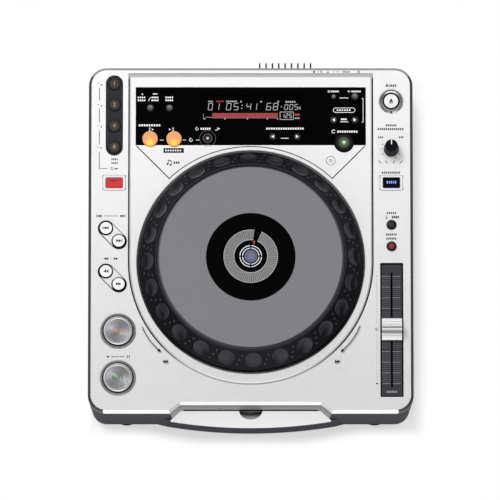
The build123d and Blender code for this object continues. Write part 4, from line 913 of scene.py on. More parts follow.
# ---------------------------------------------------------------------------- printed marks
SEGMENTS: Mapping[str, tuple[int, int, int, int]] = {  # both ends of each bar of a figure
    "a": (-1, 1, 1, 1), "b": (1, 1, 1, 0), "c": (1, 0, 1, -1), "d": (-1, -1, 1, -1),
    "e": (-1, 0, -1, -1), "f": (-1, 1, -1, 0), "g": (-1, 0, 1, 0)}
LIT_SEGMENTS: Mapping[str, str] = {
    "0": "abcdef", "1": "bc", "2": "abged", "3": "abgcd", "4": "fgbc",
    "5": "afgcd", "6": "afgedc", "7": "abc", "8": "abcdefg", "9": "abcdfg"}


class Mark(Enum):
    """A kind of mark, whose value names the method that draws it."""

    BAR = "bar"
    LINE = "stroke"
    ARC = "arc"
    DOT = "dot"
    HEAD = "triangle"
    HEADS = "heads"
    TITLE = "title"
    LOOP = "loop"
    CAPSULE = "capsule"
    CORNERS = "corners"
    DASHES = "dashes"
    WORDS = "words"
    CELLS = "cells"
    FIGURES = "figures"


Ink = Mapping[Mark, Sequence[tuple[object, ...]]]


class Print(Solid):
    """Flat marks of ink or light, laid on a surface."""

    def draw(self, ink: Ink) -> Self:
        """Adds every mark of a table.

        Args:
            ink: The marks, by kind.

        Returns:
            These marks.
        """
        for mark, rows in ink.items():
            for sizes in rows:
                getattr(self, mark.value)(*sizes)
        return self

    def dot(self, x: float, y: float, radius: float, count: int = 12) -> Self:
        """Adds a small round mark."""
        return self.disc(x, y, radius, count=count)

    def heads(self, x: float, y: float, size: float, turn: float = 0.0) -> Self:
        """Adds two arrow heads in a row, which point along X when turn is 0.

        Args:
            x: Their middle across.
            y: Their middle from front to rear.
            size: A head's size.
            turn: Which way they point, in degrees.

        Returns:
            These marks.
        """
        run = Vector((math.cos(math.radians(turn)), math.sin(math.radians(turn)))) * size * 0.86
        for step in (-0.5, 0.5):
            self.triangle(x + run.x * step, y + run.y * step, size, turn, 1.15)
        return self

    def skip(self, x: float, y: float, size: float, turn: float = 0.0) -> Self:
        """Adds two arrow heads that run up to a bar.

        Args:
            x: Their middle across.
            y: Their middle from front to rear.
            size: A head's size.
            turn: Which way they point, in degrees.

        Returns:
            These marks.
        """
        ahead = Vector((math.cos(math.radians(turn)), math.sin(math.radians(turn))))
        self.heads(x, y, size, turn)
        end = Vector((x, y)) + ahead * size * 1.1
        side = Vector((-ahead.y, ahead.x)) * size * 0.55
        return self.stroke([tuple(end - side), tuple(end + side)], size * 0.26)

    def start_pause(self, x: float, y: float, size: float) -> Self:
        """Adds an arrow head and two bars.

        Args:
            x: Their middle across.
            y: Their middle from front to rear.
            size: A head's size.

        Returns:
            These marks.
        """
        self.triangle(x - size * 0.75, y, size, 0.0, 1.0)
        self.bar(x + size * 0.45, y, size * 0.28, size)
        return self.bar(x + size * 0.95, y, size * 0.28, size)

    def title(self, left: float, right: float, y: float, size: float, bar: bool) -> Self:
        """Adds a line with arrow heads that point outwards at its ends.

        Args:
            left: Where it starts.
            right: Where it ends.
            y: Its place from front to rear.
            size: The arrow heads' size.
            bar: Whether the heads run up to a bar.

        Returns:
            These marks.
        """
        draw = self.skip if bar else self.heads
        draw(left + size * 1.3, y, size, 180.0)
        draw(right - size * 1.3, y, size, 0.0)
        return self.stroke([(left + size * 3.2, y), (right - size * 3.2, y)], 0.5)

    def loop(self, x: float, y: float, size: float) -> Self:
        """Adds a ring that is open at its top right and ends in an arrow head."""
        self.arc(x, y, size / 2, size * 0.2, 80, 380)
        return self.triangle(x + size * 0.06, y + size * 0.5, size * 0.55, 0.0, 1.1)

    def capsule(self, x: float, y: float, width: float, depth: float, line: float) -> Self:
        """Adds an oblong outline with round ends.

        Args:
            x: Its middle.
            y: Its middle.
            width: Its width.
            depth: Its depth.
            line: The line's width.

        Returns:
            These marks.
        """
        radius = (depth - line) / 2
        run = width / 2 - depth / 2
        for side in (-1, 1):
            self.stroke([(x - run, y + side * radius), (x + run, y + side * radius)], line)
            self.arc(x + side * run, y, radius, line, 90 - side * 180, 90)
        return self

    def corners(self, rear_left: Point, front_right: Point, arm: float = 1.8, line: float = 0.35) -> Self:
        """Adds four small corner marks of painted shade round a frame.

        Args:
            rear_left: The frame's corner there.
            front_right: The frame's corner there.
            arm: How long a mark's arms are.
            line: The line's width.

        Returns:
            These marks.
        """
        (x0, y1), (x1, y0) = rear_left, front_right
        for x, y, a, b in ((x0, y1, 1, -1), (x1, y1, -1, -1), (x0, y0, 1, 1), (x1, y0, -1, 1)):
            self.stroke([(x + arm * a, y), (x, y), (x, y + arm * b)][::a * b], line)
        return self

    def dashes(self, start: Point, end: Point, count: int, width: float, share: float) -> Self:
        """Adds a broken line.

        Args:
            start: Where it starts.
            end: Where its last gap ends.
            count: How many dashes there are.
            width: The line's width.
            share: The length of a dash, as a share of the pitch.

        Returns:
            These marks.
        """
        first, last = Vector(start), Vector(end)
        step = (last - first) / count
        for number in range(count):
            here = first + step * number
            self.stroke([tuple(here), tuple(here + step * share)], width)
        return self

    def words(self, left: float, right: float, y: float, count: int, tall: float = 1.9,
              share: float = 0.66) -> Self:
        """Adds a level broken line that stands in for lettering."""
        return self.dashes((left, y), (right, y), count, tall, share)

    def cells(self, text: str, x: float, y: float, wide: float, tall: float, pitch: float, line: float,
              lean: float = 0.12) -> Self:
        """Adds seven-bar figures.

        Args:
            text: The figures.
            x: The middle of the first figure.
            y: Their middle from front to rear.
            wide: A figure's width.
            tall: A figure's height.
            pitch: From one figure to the next.
            line: The bars' width.
            lean: How far the tops lean over, as a share of the height.

        Returns:
            These marks.
        """
        a, b, cut = (wide - line) / 2, (tall - line) / 2, line * 0.35
        for number, figure in enumerate(text):
            for name in LIT_SEGMENTS[figure]:
                x0, y0, x1, y1 = SEGMENTS[name]
                start, end = Vector((x0 * a, y0 * b)), Vector((x1 * a, y1 * b))
                trim = (end - start).normalized() * cut
                self.stroke([(x + pitch * number + p.x + p.y * lean, y + p.y)
                             for p in (start + trim, end - trim)], line)
        return self


# ---------------------------------------------------------------------------- the case
@dataclass
class Case:
    """The two halves of the case, the deck, the display panel, the feet and screws."""

    strip: float = STRIP
    deck: float = field(default_factory=lambda: Spot.of("centre_deck").top)
    wheel_y: float = field(default_factory=lambda: Spot.of("jog_hub").y)
    half_width: float = field(default_factory=lambda: Spot.of("top_case").half_width)
    half_depth: float = 165.5
    middle_y: float = -0.7
    corner: float = 17.0
    edge: float = 2.8  # how far in the bevel reaches
    notch_half: float = 90.0  # half the notch over the mouth
    notch_front: float = -150.0
    deck_rear: float = 157.6
    opening: float = 105.7
    collar: float = 107.6
    collar_front: float = -100.0  # where the collar's front part, in painted light, begins
    slack: float = 0.4
    wing_line: tuple[Point, ...] = ((107.2, 88.4), (76.2, 56.9))
    wing_arc: tuple[float, float, float] = (110.8, 46.5, 133.5)

    def build(self) -> None:
        """Dresses the case."""
        dress("top_case", SILVER_AND_PAINTED_LIGHT, GROOVE_PAINTED_LIGHT, EDGE_PAINTED_SHADE, EDGE_PAINTED_HALF_SHADE, LIP_WHITE_AND_PAINTED_HIGHLIGHT, rule=self.cover_face)
        dress("centre_deck", SILVER_AND_PAINTED_LIGHT, INNER_BLACK_AND_PAINTED_SHADE, COLLAR_PAINTED_SHADE, DECK_SLOPE_PAINTED_SHADE, COLLAR_FRONT_PAINTED_LIGHT, rule=self.deck_face)
        dress("display_panel", SILVER_AND_PAINTED_LIGHT, INNER_BLACK_AND_PAINTED_SHADE, rule=facing_up(SILVER_AND_PAINTED_LIGHT, self.deck - 0.9))
        dress("lower_case", DARK_CASE)
        dress("rubber_feet", RUBBER)
        dress("case_screws", NICKEL)
        lines = Print(up_to(0, 0, self.deck))
        for side in (-1, 1):
            lines.stroke([(side * x, y) for x, y in self.wing_line], 1.0)
        radius, start, end = self.wing_arc
        lines.arc(0.0, self.wheel_y, radius, 0.85, start, end, pieces=48)
        lines.piece("wing_lines", "player", BLACK_INK, "black_gloss")

    def cover_face(self, at: Vector, normal: Vector) -> Finish:
        """The finish of a face of the top case: cover, holes' walls, sides or rear edge; the bevel gets
        painted shade at the sides, painted half shade at the rear and a painted highlight at the front.

        Args:
            at: The face's middle, in millimetres.
            normal: Its normal.

        Returns:
            Its finish.
        """
        if normal.z > LEVEL:
            return SILVER_AND_PAINTED_LIGHT if at.z > self.strip - self.slack else GROOVE_PAINTED_LIGHT
        if normal.z < -LEANING:
            return GROOVE_PAINTED_LIGHT
        # The bevel: painted shade where it faces a side, painted half shade where it faces the rear or lines
        # the notch, painted highlight where it faces the front.
        if self.within(at) < self.edge:
            if normal.z < LEANING and abs(at.x) < self.notch_half and abs(normal.x) > LEANING:
                return EDGE_PAINTED_HALF_SHADE
            facing = normal.y / max(math.hypot(normal.x, normal.y), 1e-6)
            return LIP_WHITE_AND_PAINTED_HIGHLIGHT if facing < -0.99 else EDGE_PAINTED_HALF_SHADE if facing > 0.5 else EDGE_PAINTED_SHADE
        if normal.z > LEANING:
            # The slope over the mouth that faces the front gets a painted highlight.
            white = at.y < self.notch_front and normal.y < -LEANING and abs(normal.x) < LEANING
            return LIP_WHITE_AND_PAINTED_HIGHLIGHT if white else SILVER_AND_PAINTED_LIGHT
        return GROOVE_PAINTED_LIGHT

    def within(self, at: Vector) -> float:
        """How far a point is inside the case's rounded outline.

        Args:
            at: The point.

        Returns:
            The distance, in millimetres.
        """
        flat = Vector((abs(at.x) - self.half_width + self.corner,
                       abs(at.y - self.middle_y) - self.half_depth + self.corner))
        outside = Vector((max(flat.x, 0.0), max(flat.y, 0.0))).length
        return self.corner - outside - min(max(flat.x, flat.y), 0.0)

    def deck_face(self, at: Vector, normal: Vector) -> Finish:
        """The finish of a face of the deck: top, holes' walls, collar or rear slope; the collar and the rear
        slope carry painted shade and light.

        Args:
            at: The face's middle, in millimetres.
            normal: Its normal.

        Returns:
            Its finish.
        """
        if normal.z > LEVEL:
            return SILVER_AND_PAINTED_LIGHT if at.z > self.deck - self.slack else INNER_BLACK_AND_PAINTED_SHADE
        out = away(at, 0.0, self.wheel_y)
        if normal.z < -LEANING or out < self.opening:
            return INNER_BLACK_AND_PAINTED_SHADE
        if out < self.collar:
            return COLLAR_FRONT_PAINTED_LIGHT if at.y < self.collar_front else COLLAR_PAINTED_SHADE
        return DECK_SLOPE_PAINTED_SHADE if at.y > self.deck_rear - 3.0 and normal.y > LEANING else SILVER_AND_PAINTED_LIGHT


@dataclass
class FrontMouth:
    """The wall with the disc slot, its cheeks, and the white lip with a finger scoop."""

    wall: float = -158.7
    slot_half: float = 63.2
    slot: Point = (50.4, 57.6)  # its lower and its upper edge
    scoop: tuple[float, float, float] = (0.0, -158.7, 52.5)
    scoop_radius: float = 11.2
    top: float = 79.0
    cheek: float = -163.0
    cheek_half: float = 70.0
    cheek_low: float = 50.0
    cheek_step: float = 70.0

    def build(self) -> None:
        """Dresses the mouth."""
        dress("disc_slot_bezel", LIP_WHITE_AND_PAINTED_HIGHLIGHT, MOUTH_PAINTED_SHADE, INNER_BLACK_AND_PAINTED_SHADE, SCOOP_PAINTED_SHADE, DARK_CASE, rule=self.face)

    def face(self, at: Vector, normal: Vector) -> Finish:
        """The finish of a face of the mouth: lip, wall in painted shade, hidden, scoop in painted shade, or
        cheek.

        Args:
            at: The face's middle, in millimetres.
            normal: Its normal.

        Returns:
            Its finish.
        """
        if at.y > self.wall + 0.2 or normal.z < -0.4:
            return INNER_BLACK_AND_PAINTED_SHADE
        if normal.y < -0.95 and at.y < self.cheek and abs(at.x) > self.cheek_half and at.z > self.cheek_low:
            return DARK_CASE
        if abs((at - Vector(self.scoop)).length - self.scoop_radius) < 0.4:
            return SCOOP_PAINTED_SHADE
        in_slot = self.slot[0] < at.z < self.slot[1] and abs(at.x) < self.slot_half
        if in_slot and at.y > self.wall - 0.05 and normal.y > -0.9:
            return INNER_BLACK_AND_PAINTED_SHADE
        if normal.z > LEANING and at.z < self.top:
            return DARK_CASE if at.z > self.cheek_step else LIP_WHITE_AND_PAINTED_HIGHLIGHT
        if normal.z > 0.9:
            return MOUTH_PAINTED_SHADE
        return MOUTH_PAINTED_SHADE if at.y > self.wall - 0.4 or abs(normal.x) > LEANING else LIP_WHITE_AND_PAINTED_HIGHLIGHT


# ---------------------------------------------------------------------------- the jog wheel
@dataclass
class JogWheel:
    """The jog wheel: a dimpled grip ring, a flat plate and a window with a round display."""

    outer: float = 104.4
    lip: float = 90.0
    shoulder: float = 90.8
    rim_height: float = 15.0
    lip_top: float = 106.2
    dimples: int = 24
    dimple_turn: float = 1.4
    dimple: float = 8.4
    pip_radius: float = 0.85
    pip_rise: float = 0.3
    pip_places: tuple[Point, ...] = ((0.25, -1.3), (0.5, 0.0), (0.75, 1.3))  # share of the slope, and turn
    display: Spot = field(default_factory=lambda: Spot.of("jog_hub"))
    display_shift: float = 1.2
    window: float = 28.0
    segment_count: int = 72
    segment_turn: float = 1.8
    segment_ring: Point = (15.4, 25.5)
    segment_rim: float = 0.8
    played: Point = (9.5, 24.0)  # the bare share, clockwise from the rear
    mark_ring: Point = (13.5, 3.2)  # the red mark's radius and width
    mark_turns: Point = (16.5, 10.5)
    thin_rings: tuple[Point, ...] = ((10.1, 7.0), (7.7, 9.0))  # radius, and its gaps in degrees
    lamp: float = 6.2

    def build(self) -> None:
        """Dresses the wheel and adds its marks."""
        self.dress_wheel()
        self.pips()
        self.field()
        self.middle()

    def dress_wheel(self) -> None:
        """The finishes of the ring, plate, window and hub."""
        plate = Spun("touch_plate", paint(120, 120, 124), 0.5, 0.3, shine=0.3, y=self.display.y, pitch=1.1,
                     band=4.4, groove=0.004, contrast=0.03, relief=0.001, patch=40.0)
        pane = TintedDisc("centre_window", paint(6, 6, 7), 0.1, shine=0.1, relief=0.0003, y=self.display.y,
                          radius=self.window, clear=0.9)
        dress("jog_ring", GRIP, GRIP_LIP, RING_LIP_PAINTED_HIGHLIGHT, DIMPLE_PAINTED_LIGHT, rule=self.ring_face)
        dress("touch_plate", plate)
        dress("centre_window", pane)
        dress("jog_hub", INNER_BLACK_AND_PAINTED_SHADE, GLOSS_BLACK, rule=above(self.display.top - 0.3, GLOSS_BLACK))
        dress("jog_platter", GREY_PLASTIC)
        dress("encoder_wheel", CREAM_PLASTIC)

    def ring_face(self, at: Vector, normal: Vector) -> Finish:
        """The finish of a face of the grip ring: cone, dimple in painted light, dark edge, or flat lip in
        painted highlight.

        Args:
            at: The face's middle, in millimetres.
            normal: Its normal.

        Returns:
            Its finish.
        """
        if at.z > self.lip_top and normal.z > 0.99:
            return RING_LIP_PAINTED_HIGHLIGHT
        rounded = at.z > self.lip_top - 0.45 and normal.z > 0.8
        if rounded or normal.z > LEANING and at.z < self.shoulder - 0.1:
            return GRIP_LIP
        pitch = 360 / self.dimples
        angle = math.degrees(math.atan2(at.y - self.display.y, at.x)) - self.dimple_turn
        off = (angle + pitch / 2) % pitch - pitch / 2
        out = away(at, 0.0, self.display.y)
        run = self.outer - self.lip
        slope = math.hypot(run, self.rim_height) / run
        across = math.hypot(math.radians(off) * out, (out - self.outer + run / 2) * slope)
        return DIMPLE_PAINTED_LIGHT if across < self.dimple and self.shoulder < at.z else GRIP

    def pips(self) -> None:
        """Three small pips between each two dimples, in a slanted line, in a lighter grey as a painted
        highlight.
        """
        marks = Solid()
        run = self.outer - self.lip
        for number in range(self.dimples):
            for share, turn in self.pip_places:
                angle = math.radians((number + 0.5) * 360 / self.dimples + self.dimple_turn + turn)
                out = Vector((math.cos(angle), math.sin(angle), 0.0))
                middle = out * (self.outer - run * share)
                middle += Vector((0.0, self.display.y, self.shoulder + self.rim_height * share))
                axis = (out * self.rim_height + Vector((0.0, 0.0, run))).normalized()
                marks.dome(middle, axis, self.pip_radius, self.pip_rise)
        marks.piece("jog_ring_pips", "jog_wheel", PIP_PAINTED_HIGHLIGHT, "rim_grey", smooth=True)

    def sheet(self) -> Print:
        """Bare marks on the round display."""
        return Print(up_to(0.0, self.display.y + self.display_shift, self.display.top))

    def field(self) -> None:
        """The ring of segments, with its bare share and a red mark."""
        grey = lit("display_grey", paint(118, 119, 121), 0.75, 0.45, 0.9)
        rim = lit("display_rim", paint(158, 158, 156), 0.75, 0.2, 1.2)
        inner, outer = self.segment_ring
        step = 360 / self.segment_count
        wide, narrow = step * 0.46, step * 0.42
        segments, rims = self.sheet(), self.sheet()
        for number in range(self.segment_count):
            clockwise = (number + 0.5) * step - self.segment_turn
            if self.played[0] < clockwise < self.played[1]:
                continue
            turn = 90 - clockwise
            depth = outer - inner - 1.8
            segments.arc(0, 0, (inner + outer) / 2, depth, turn - narrow, turn + narrow, pieces=2)
            for radius in (inner + self.segment_rim / 2, outer - self.segment_rim / 2):
                rims.arc(0, 0, radius, self.segment_rim, turn - wide, turn + wide, pieces=2)
        rims.piece("display_rims", "player", rim, "white_key")
        segments.piece("display_segments", "player", grey, "white_key")
        mark = self.sheet().arc(0, 0, *self.mark_ring, *(90 - turn for turn in self.mark_turns), pieces=2)
        mark.piece("display_mark", "player", LIT_RED, "red_key")

    def middle(self) -> None:
        """Two thin broken rings and a lit middle."""
        blue = RoundKey("display_blue", paint(78, 86, 112), 0.5, relief=0.001, glow=0.5,
                        y=self.display.y + self.display_shift, core=paint(104, 110, 132), start=1.0,
                        spread=5.8, streak=0.9)
        rings = self.sheet()
        for radius, gap in self.thin_rings:
            for quarter in range(4):
                rings.arc(0, 0, radius, 0.75, quarter * 90 + gap / 2, (quarter + 1) * 90 - gap / 2)
        white = lit("display_white", paint(205, 210, 216), 0.8, 0.05)
        rings.piece("display_rings", "player", white, "white_key")
        self.sheet().disc(0, 0, self.lamp).piece("display_middle", "player", blue, "blue_key")


# ---------------------------------------------------------------------------- controls at the left
LEFT_INK: Ink = {
    Mark.WORDS: ((-131.0, -124.6, 76.3, 4, 1.8, 0.62), (-131.0, -124.6, 72.7, 4, 1.8, 0.62),
                 (-130.2, -117.8, -113.0, 5, 0.8, 0.7)),
    Mark.LOOP: ((-130.4, 67.2, 2.3),),
    Mark.HEADS: ((-126.2, 67.2, 1.8),),
    Mark.HEAD: ((-133.2, -113.0, 2.6),),
    Mark.CORNERS: (((-139.2, 60.6), (-117.4, 47.1)),),
    Mark.TITLE: ((-145.2, -117.4, 21.7, 2.3, True), (-138.8, -123.4, -19.3, 2.3, False)),
    Mark.BAR: ((-115.4, -113.0, 0.8, 2.4), (-113.7, -113.0, 0.8, 2.4)),
}
CUE_INK: Ink = {
    Mark.BAR: ((-4.6, 0, 0.8, 3.4),),
    Mark.ARC: ((-1.9, 0, 1.3, 0.8, 40, 320), (2.7, 0, 1.5, 0.8, 0, 360)),
}


@dataclass
class LeftStrip:
    """Loop buttons, direction key, track and search keys, cue and start."""

    strip: float = STRIP
    collar_top: float = 83.6
    dish_top: float = 85.7
    loops: tuple[str, ...] = ("1", "2", "4", "8")
    loop_pitch: float = 20.4
    loop_dash: Point = (-143.7, 149.4)
    loop_dot: Point = (-140.8, 148.3)
    guide: float = -142.5  # the upright line beside the loop buttons, and its runs
    guide_runs: tuple[Point, ...] = ((132.9, 145.4), (111.8, 125.3), (90.7, 104.2), (66.9, 83.1))
    guide_foot: tuple[float, ...] = (-138.5, 67.3, 7.2, 0.6)
    seekers: tuple[tuple[str, float, bool], ...] = (  # key, which way it points, and whether to a bar
        ("track_back", 180.0, True), ("track_next", 0.0, True), ("search_back", 180.0, False),
        ("search_forward", 0.0, False))
    seekers_at: tuple[Point, ...] = field(init=False)
    seeker_edge: float = 7.3  # half a collar's width
    large: tuple[Point, ...] = ((-124.3, -88.6), (-124.3, -133.3))
    large_ring: Point = (14.3, 17.4)  # inner and outer radius
    eject: Point = (132.2, 132.3)
    eject_ring: Point = (8.4, 12.2)
    return_ring: tuple[float, float, float] = (87.7, 91.8, 20.0)
    ring_foot: float = 83.2

    def __post_init__(self) -> None:
        """Finds the track and search keys."""
        spots = [Spot.of(f"{key}_button") for key, _, _ in self.seekers]
        self.seekers_at = tuple((spot.x, spot.y) for spot in spots)

    def build(self) -> None:
        """Dresses the strip and prints its marks."""
        self.loop_buttons()
        self.direction_key()
        self.search_keys()
        self.large_buttons()
        self.ink()

    def loop_buttons(self) -> None:
        """Four small round keys on a dark oblong plate, each with a lit figure."""
        dress("loop_button_plate", PILL_DARK, INNER_BLACK_AND_PAINTED_SHADE, rule=facing_up(PILL_DARK))
        for figure in self.loops:
            name = f"loop_button_{figure}"
            spot = Spot.of(name)
            # Painted highlight in the middle of the cap, and painted shade towards its rim.
            cap = RoundKey.over(spot, f"loop_cap_{figure}", paint(16, 15, 16), 0.4, shine=0.3, relief=0.002,
                                core=paint(58, 50, 46), start=3.6, spread=4.6)
            dress_key(name, cap, 80.0)
            mark = spot.sheet().figures(figure, 0, 0, 3.7)
            mark.piece(f"loop_figure_{figure}", name, PALE_AMBER, "orange_key")

    def direction_key(self) -> None:
        """The red oblong key with an arrow that points back."""
        lit_cap = Finish("red_cap", paint(204, 34, 38), 0.32, grain=0.4, relief=0.002, mottle=0.06, patch=4.0)
        dress_key("reverse_button", lit_cap, 80.0)
        dark = Finish("red_mark", paint(120, 14, 18), 0.4, relief=0.002, patch=4.0)
        marks = Spot.of("reverse_button").sheet().triangle(-2.6, 1.6, 3.4, 180.0).bar(1.2, 1.6, 4.6, 1.0)
        marks.piece("direction_mark", "reverse_button", dark, "red_key")

    def search_keys(self) -> None:
        """White round keys in two slanted collars."""
        for key, turn, skip in self.seekers:
            name = f"{key}_button"
            dress_key(name, WHITE_KEY, 85.3)
            marks = Spot.of(name).sheet()
            (marks.skip if skip else marks.heads)(0, 0, 2.6, turn)
            marks.piece(f"{name}_mark", name, BLACK_INK, "black_gloss")

    def large_buttons(self) -> None:
        """Turned metal caps with a bright edge, in raised rings."""
        for name in ("cue_button", "play_button"):
            dish = Spun.over(Spot.of(name), f"{name}_dish", paint(126, 126, 129), 0.3, metallic=0.85,
                             pitch=0.55, groove=0.02, band=1.9, contrast=0.06, relief=0.001, patch=18.0)
            dress(name, dish, FADER_SILVER, INNER_BLACK_AND_PAINTED_SHADE, rule=self.cap_rule(dish))
        cue, start = Spot.of("cue_button"), Spot.of("play_button")
        cue_marks = Print(up_to(cue.x, cue.y, self.dish_top)).draw(CUE_INK)
        cue_marks.piece("cue_mark", "cue_button", CUE_AMBER, "orange_key")
        start_marks = Print(up_to(start.x, start.y, self.dish_top)).start_pause(0, 0, 4.2)
        start_marks.piece("start_mark", "play_button", GREEN, "orange_key")
        dress("button_rings", SILVER_AND_PAINTED_LIGHT, INNER_BLACK_AND_PAINTED_SHADE, COLLAR_EDGE_PAINTED_SHADE, CHROME, RING_METAL, rule=self.ring_face)

    @staticmethod
    def cap_rule(dish: Finish) -> Rule:
        """Tells a large cap's dish from its bright edge and its hidden wall.

        Args:
            dish: The dish's finish.

        Returns:
            The rule that dress() takes.
        """
        def rule(at: Vector, normal: Vector) -> Finish:
            """The finish of a face of the cap.

            Args:
                at: The face's middle, in millimetres.
                normal: Its normal.

            Returns:
                Its finish.
            """
            if at.z < 83.5:
                return INNER_BLACK_AND_PAINTED_SHADE
            return dish if normal.z > 0.9 else FADER_SILVER
        return rule

    def ring_face(self, at: Vector, normal: Vector) -> Finish:
        """The finish of a face of the rings, collars and frames; their slopes get painted shade.

        Args:
            at: The face's middle, in millimetres.
            normal: Its normal.

        Returns:
            Its finish.
        """
        for place in self.large:
            out = away(at, *place)
            if out < self.large_ring[1]:
                if at.z < self.ring_foot or out < self.large_ring[0]:
                    return INNER_BLACK_AND_PAINTED_SHADE
                return RING_METAL if normal.z > 0.5 else COLLAR_EDGE_PAINTED_SHADE
        out = away(at, *self.eject)
        if out < self.eject_ring[1]:
            return INNER_BLACK_AND_PAINTED_SHADE if out < self.eject_ring[0] or at.z < self.ring_foot else CHROME
        x, y, reach = self.return_ring
        if away(at, x, y) < reach or any(away(at, *place) < self.seeker_edge for place in self.seekers_at):
            return INNER_BLACK_AND_PAINTED_SHADE
        return SILVER_AND_PAINTED_LIGHT if normal.z > 0.9 else COLLAR_EDGE_PAINTED_SHADE

    def ink(self) -> None:
        """The printed marks of the strip, and lines of painted shade on the collars."""
        marks, guides = Print(up_to(0, 0, self.strip)), Print(up_to(0, 0, self.strip))
        for number in range(len(self.loops)):
            drop = self.loop_pitch * number
            marks.bar(self.loop_dash[0], self.loop_dash[1] - drop, 1.6, 0.5)
            marks.dot(self.loop_dot[0], self.loop_dot[1] - drop, 0.7)
        for low, high in self.guide_runs:
            guides.bar(self.guide, (high + low) / 2, 0.8, high - low)
        guides.bar(*self.guide_foot)
        guides.piece("strip_guides", "player", GREY_INK, "black_gloss")
        self.collar_painted_shade_lines()
        marks.draw(LEFT_INK).piece("left_ink", "player", BLACK_INK, "black_gloss")

    def collar_painted_shade_lines(self) -> None:
        """The two lines of painted shade along the edges of each slanted collar."""
        collar = Print(up_to(0, 0, self.collar_top))
        places = [Vector(place) for place in self.seekers_at]
        out = Vector((12.3, 12.0)).normalized() * self.seeker_edge
        for pair in (places[:2], places[2:]):
            for sign in (-1, 1):
                collar.stroke([tuple(place + out * sign) for place in pair], 0.55)
        collar.piece("collar_painted_shade_lines", "player", BLACK_INK, "black_gloss")


# ---------------------------------------------------------------------------- controls at the right
RIGHT_INK: Ink = {
    Mark.HEAD: ((128.4, 148.2, 2.2, 90.0, 1.3),),
    Mark.BAR: ((128.4, 146.6, 2.6, 0.6), (127.6, 20.5, 1.8, 0.45), (127.6, 21.2, 0.45, 1.5),
               (127.6, 19.3, 1.8, 0.45), (118.2, -36.0, 1.8, 0.5), (118.2, -138.6, 1.8, 0.8),
               (118.2, -138.6, 0.8, 1.8)),
    Mark.WORDS: ((130.6, 137.6, 147.4, 4, 2.2), (127.2, 137.6, 109.0, 6), (119.4, 144.4, 105.4, 13),
                 (119.9, 125.1, 97.5, 3, 1.6), (139.4, 144.2, 97.5, 3, 1.6), (123.2, 141.0, 63.4, 9),
                 (127.8, 137.0, 24.5, 5), (132.6, 139.6, 20.6, 4, 2.3, 0.74), (127.0, 137.6, 3.9, 6),
                 (127.4, 137.2, 0.0, 6)),
    Mark.DOT: ((124.2, 90.6, 0.55), (122.9, 86.4, 0.55), (124.2, 81.4, 0.55), (127.9, 78.1, 0.55),
               (136.4, 78.1, 0.55), (139.8, 81.4, 0.55)),
    Mark.CORNERS: (((120.8, 60.5), (143.2, 47.1)),),
    Mark.FIGURES: (("0", 117.8, -87.3, 3.2),),
}
FADER_DOTS: Ink = {
    Mark.DASHES: (((118.2, -38.5), (118.2, -82.0), 28, 0.55, 0.5),
                  ((118.2, -92.0), (118.2, -136.0), 28, 0.55, 0.5)),
}
# Painted shadow round the fader plate, under the walls of its recess.
FADER_RIM_PAINTED_SHADOW: Ink = {
    Mark.BAR: ((-10.0, 0, 1.2, 127.6), (10.0, 0, 1.2, 127.6), (0, 63.0, 18.8, 1.6), (0, -63.3, 18.8, 1.0)),
}


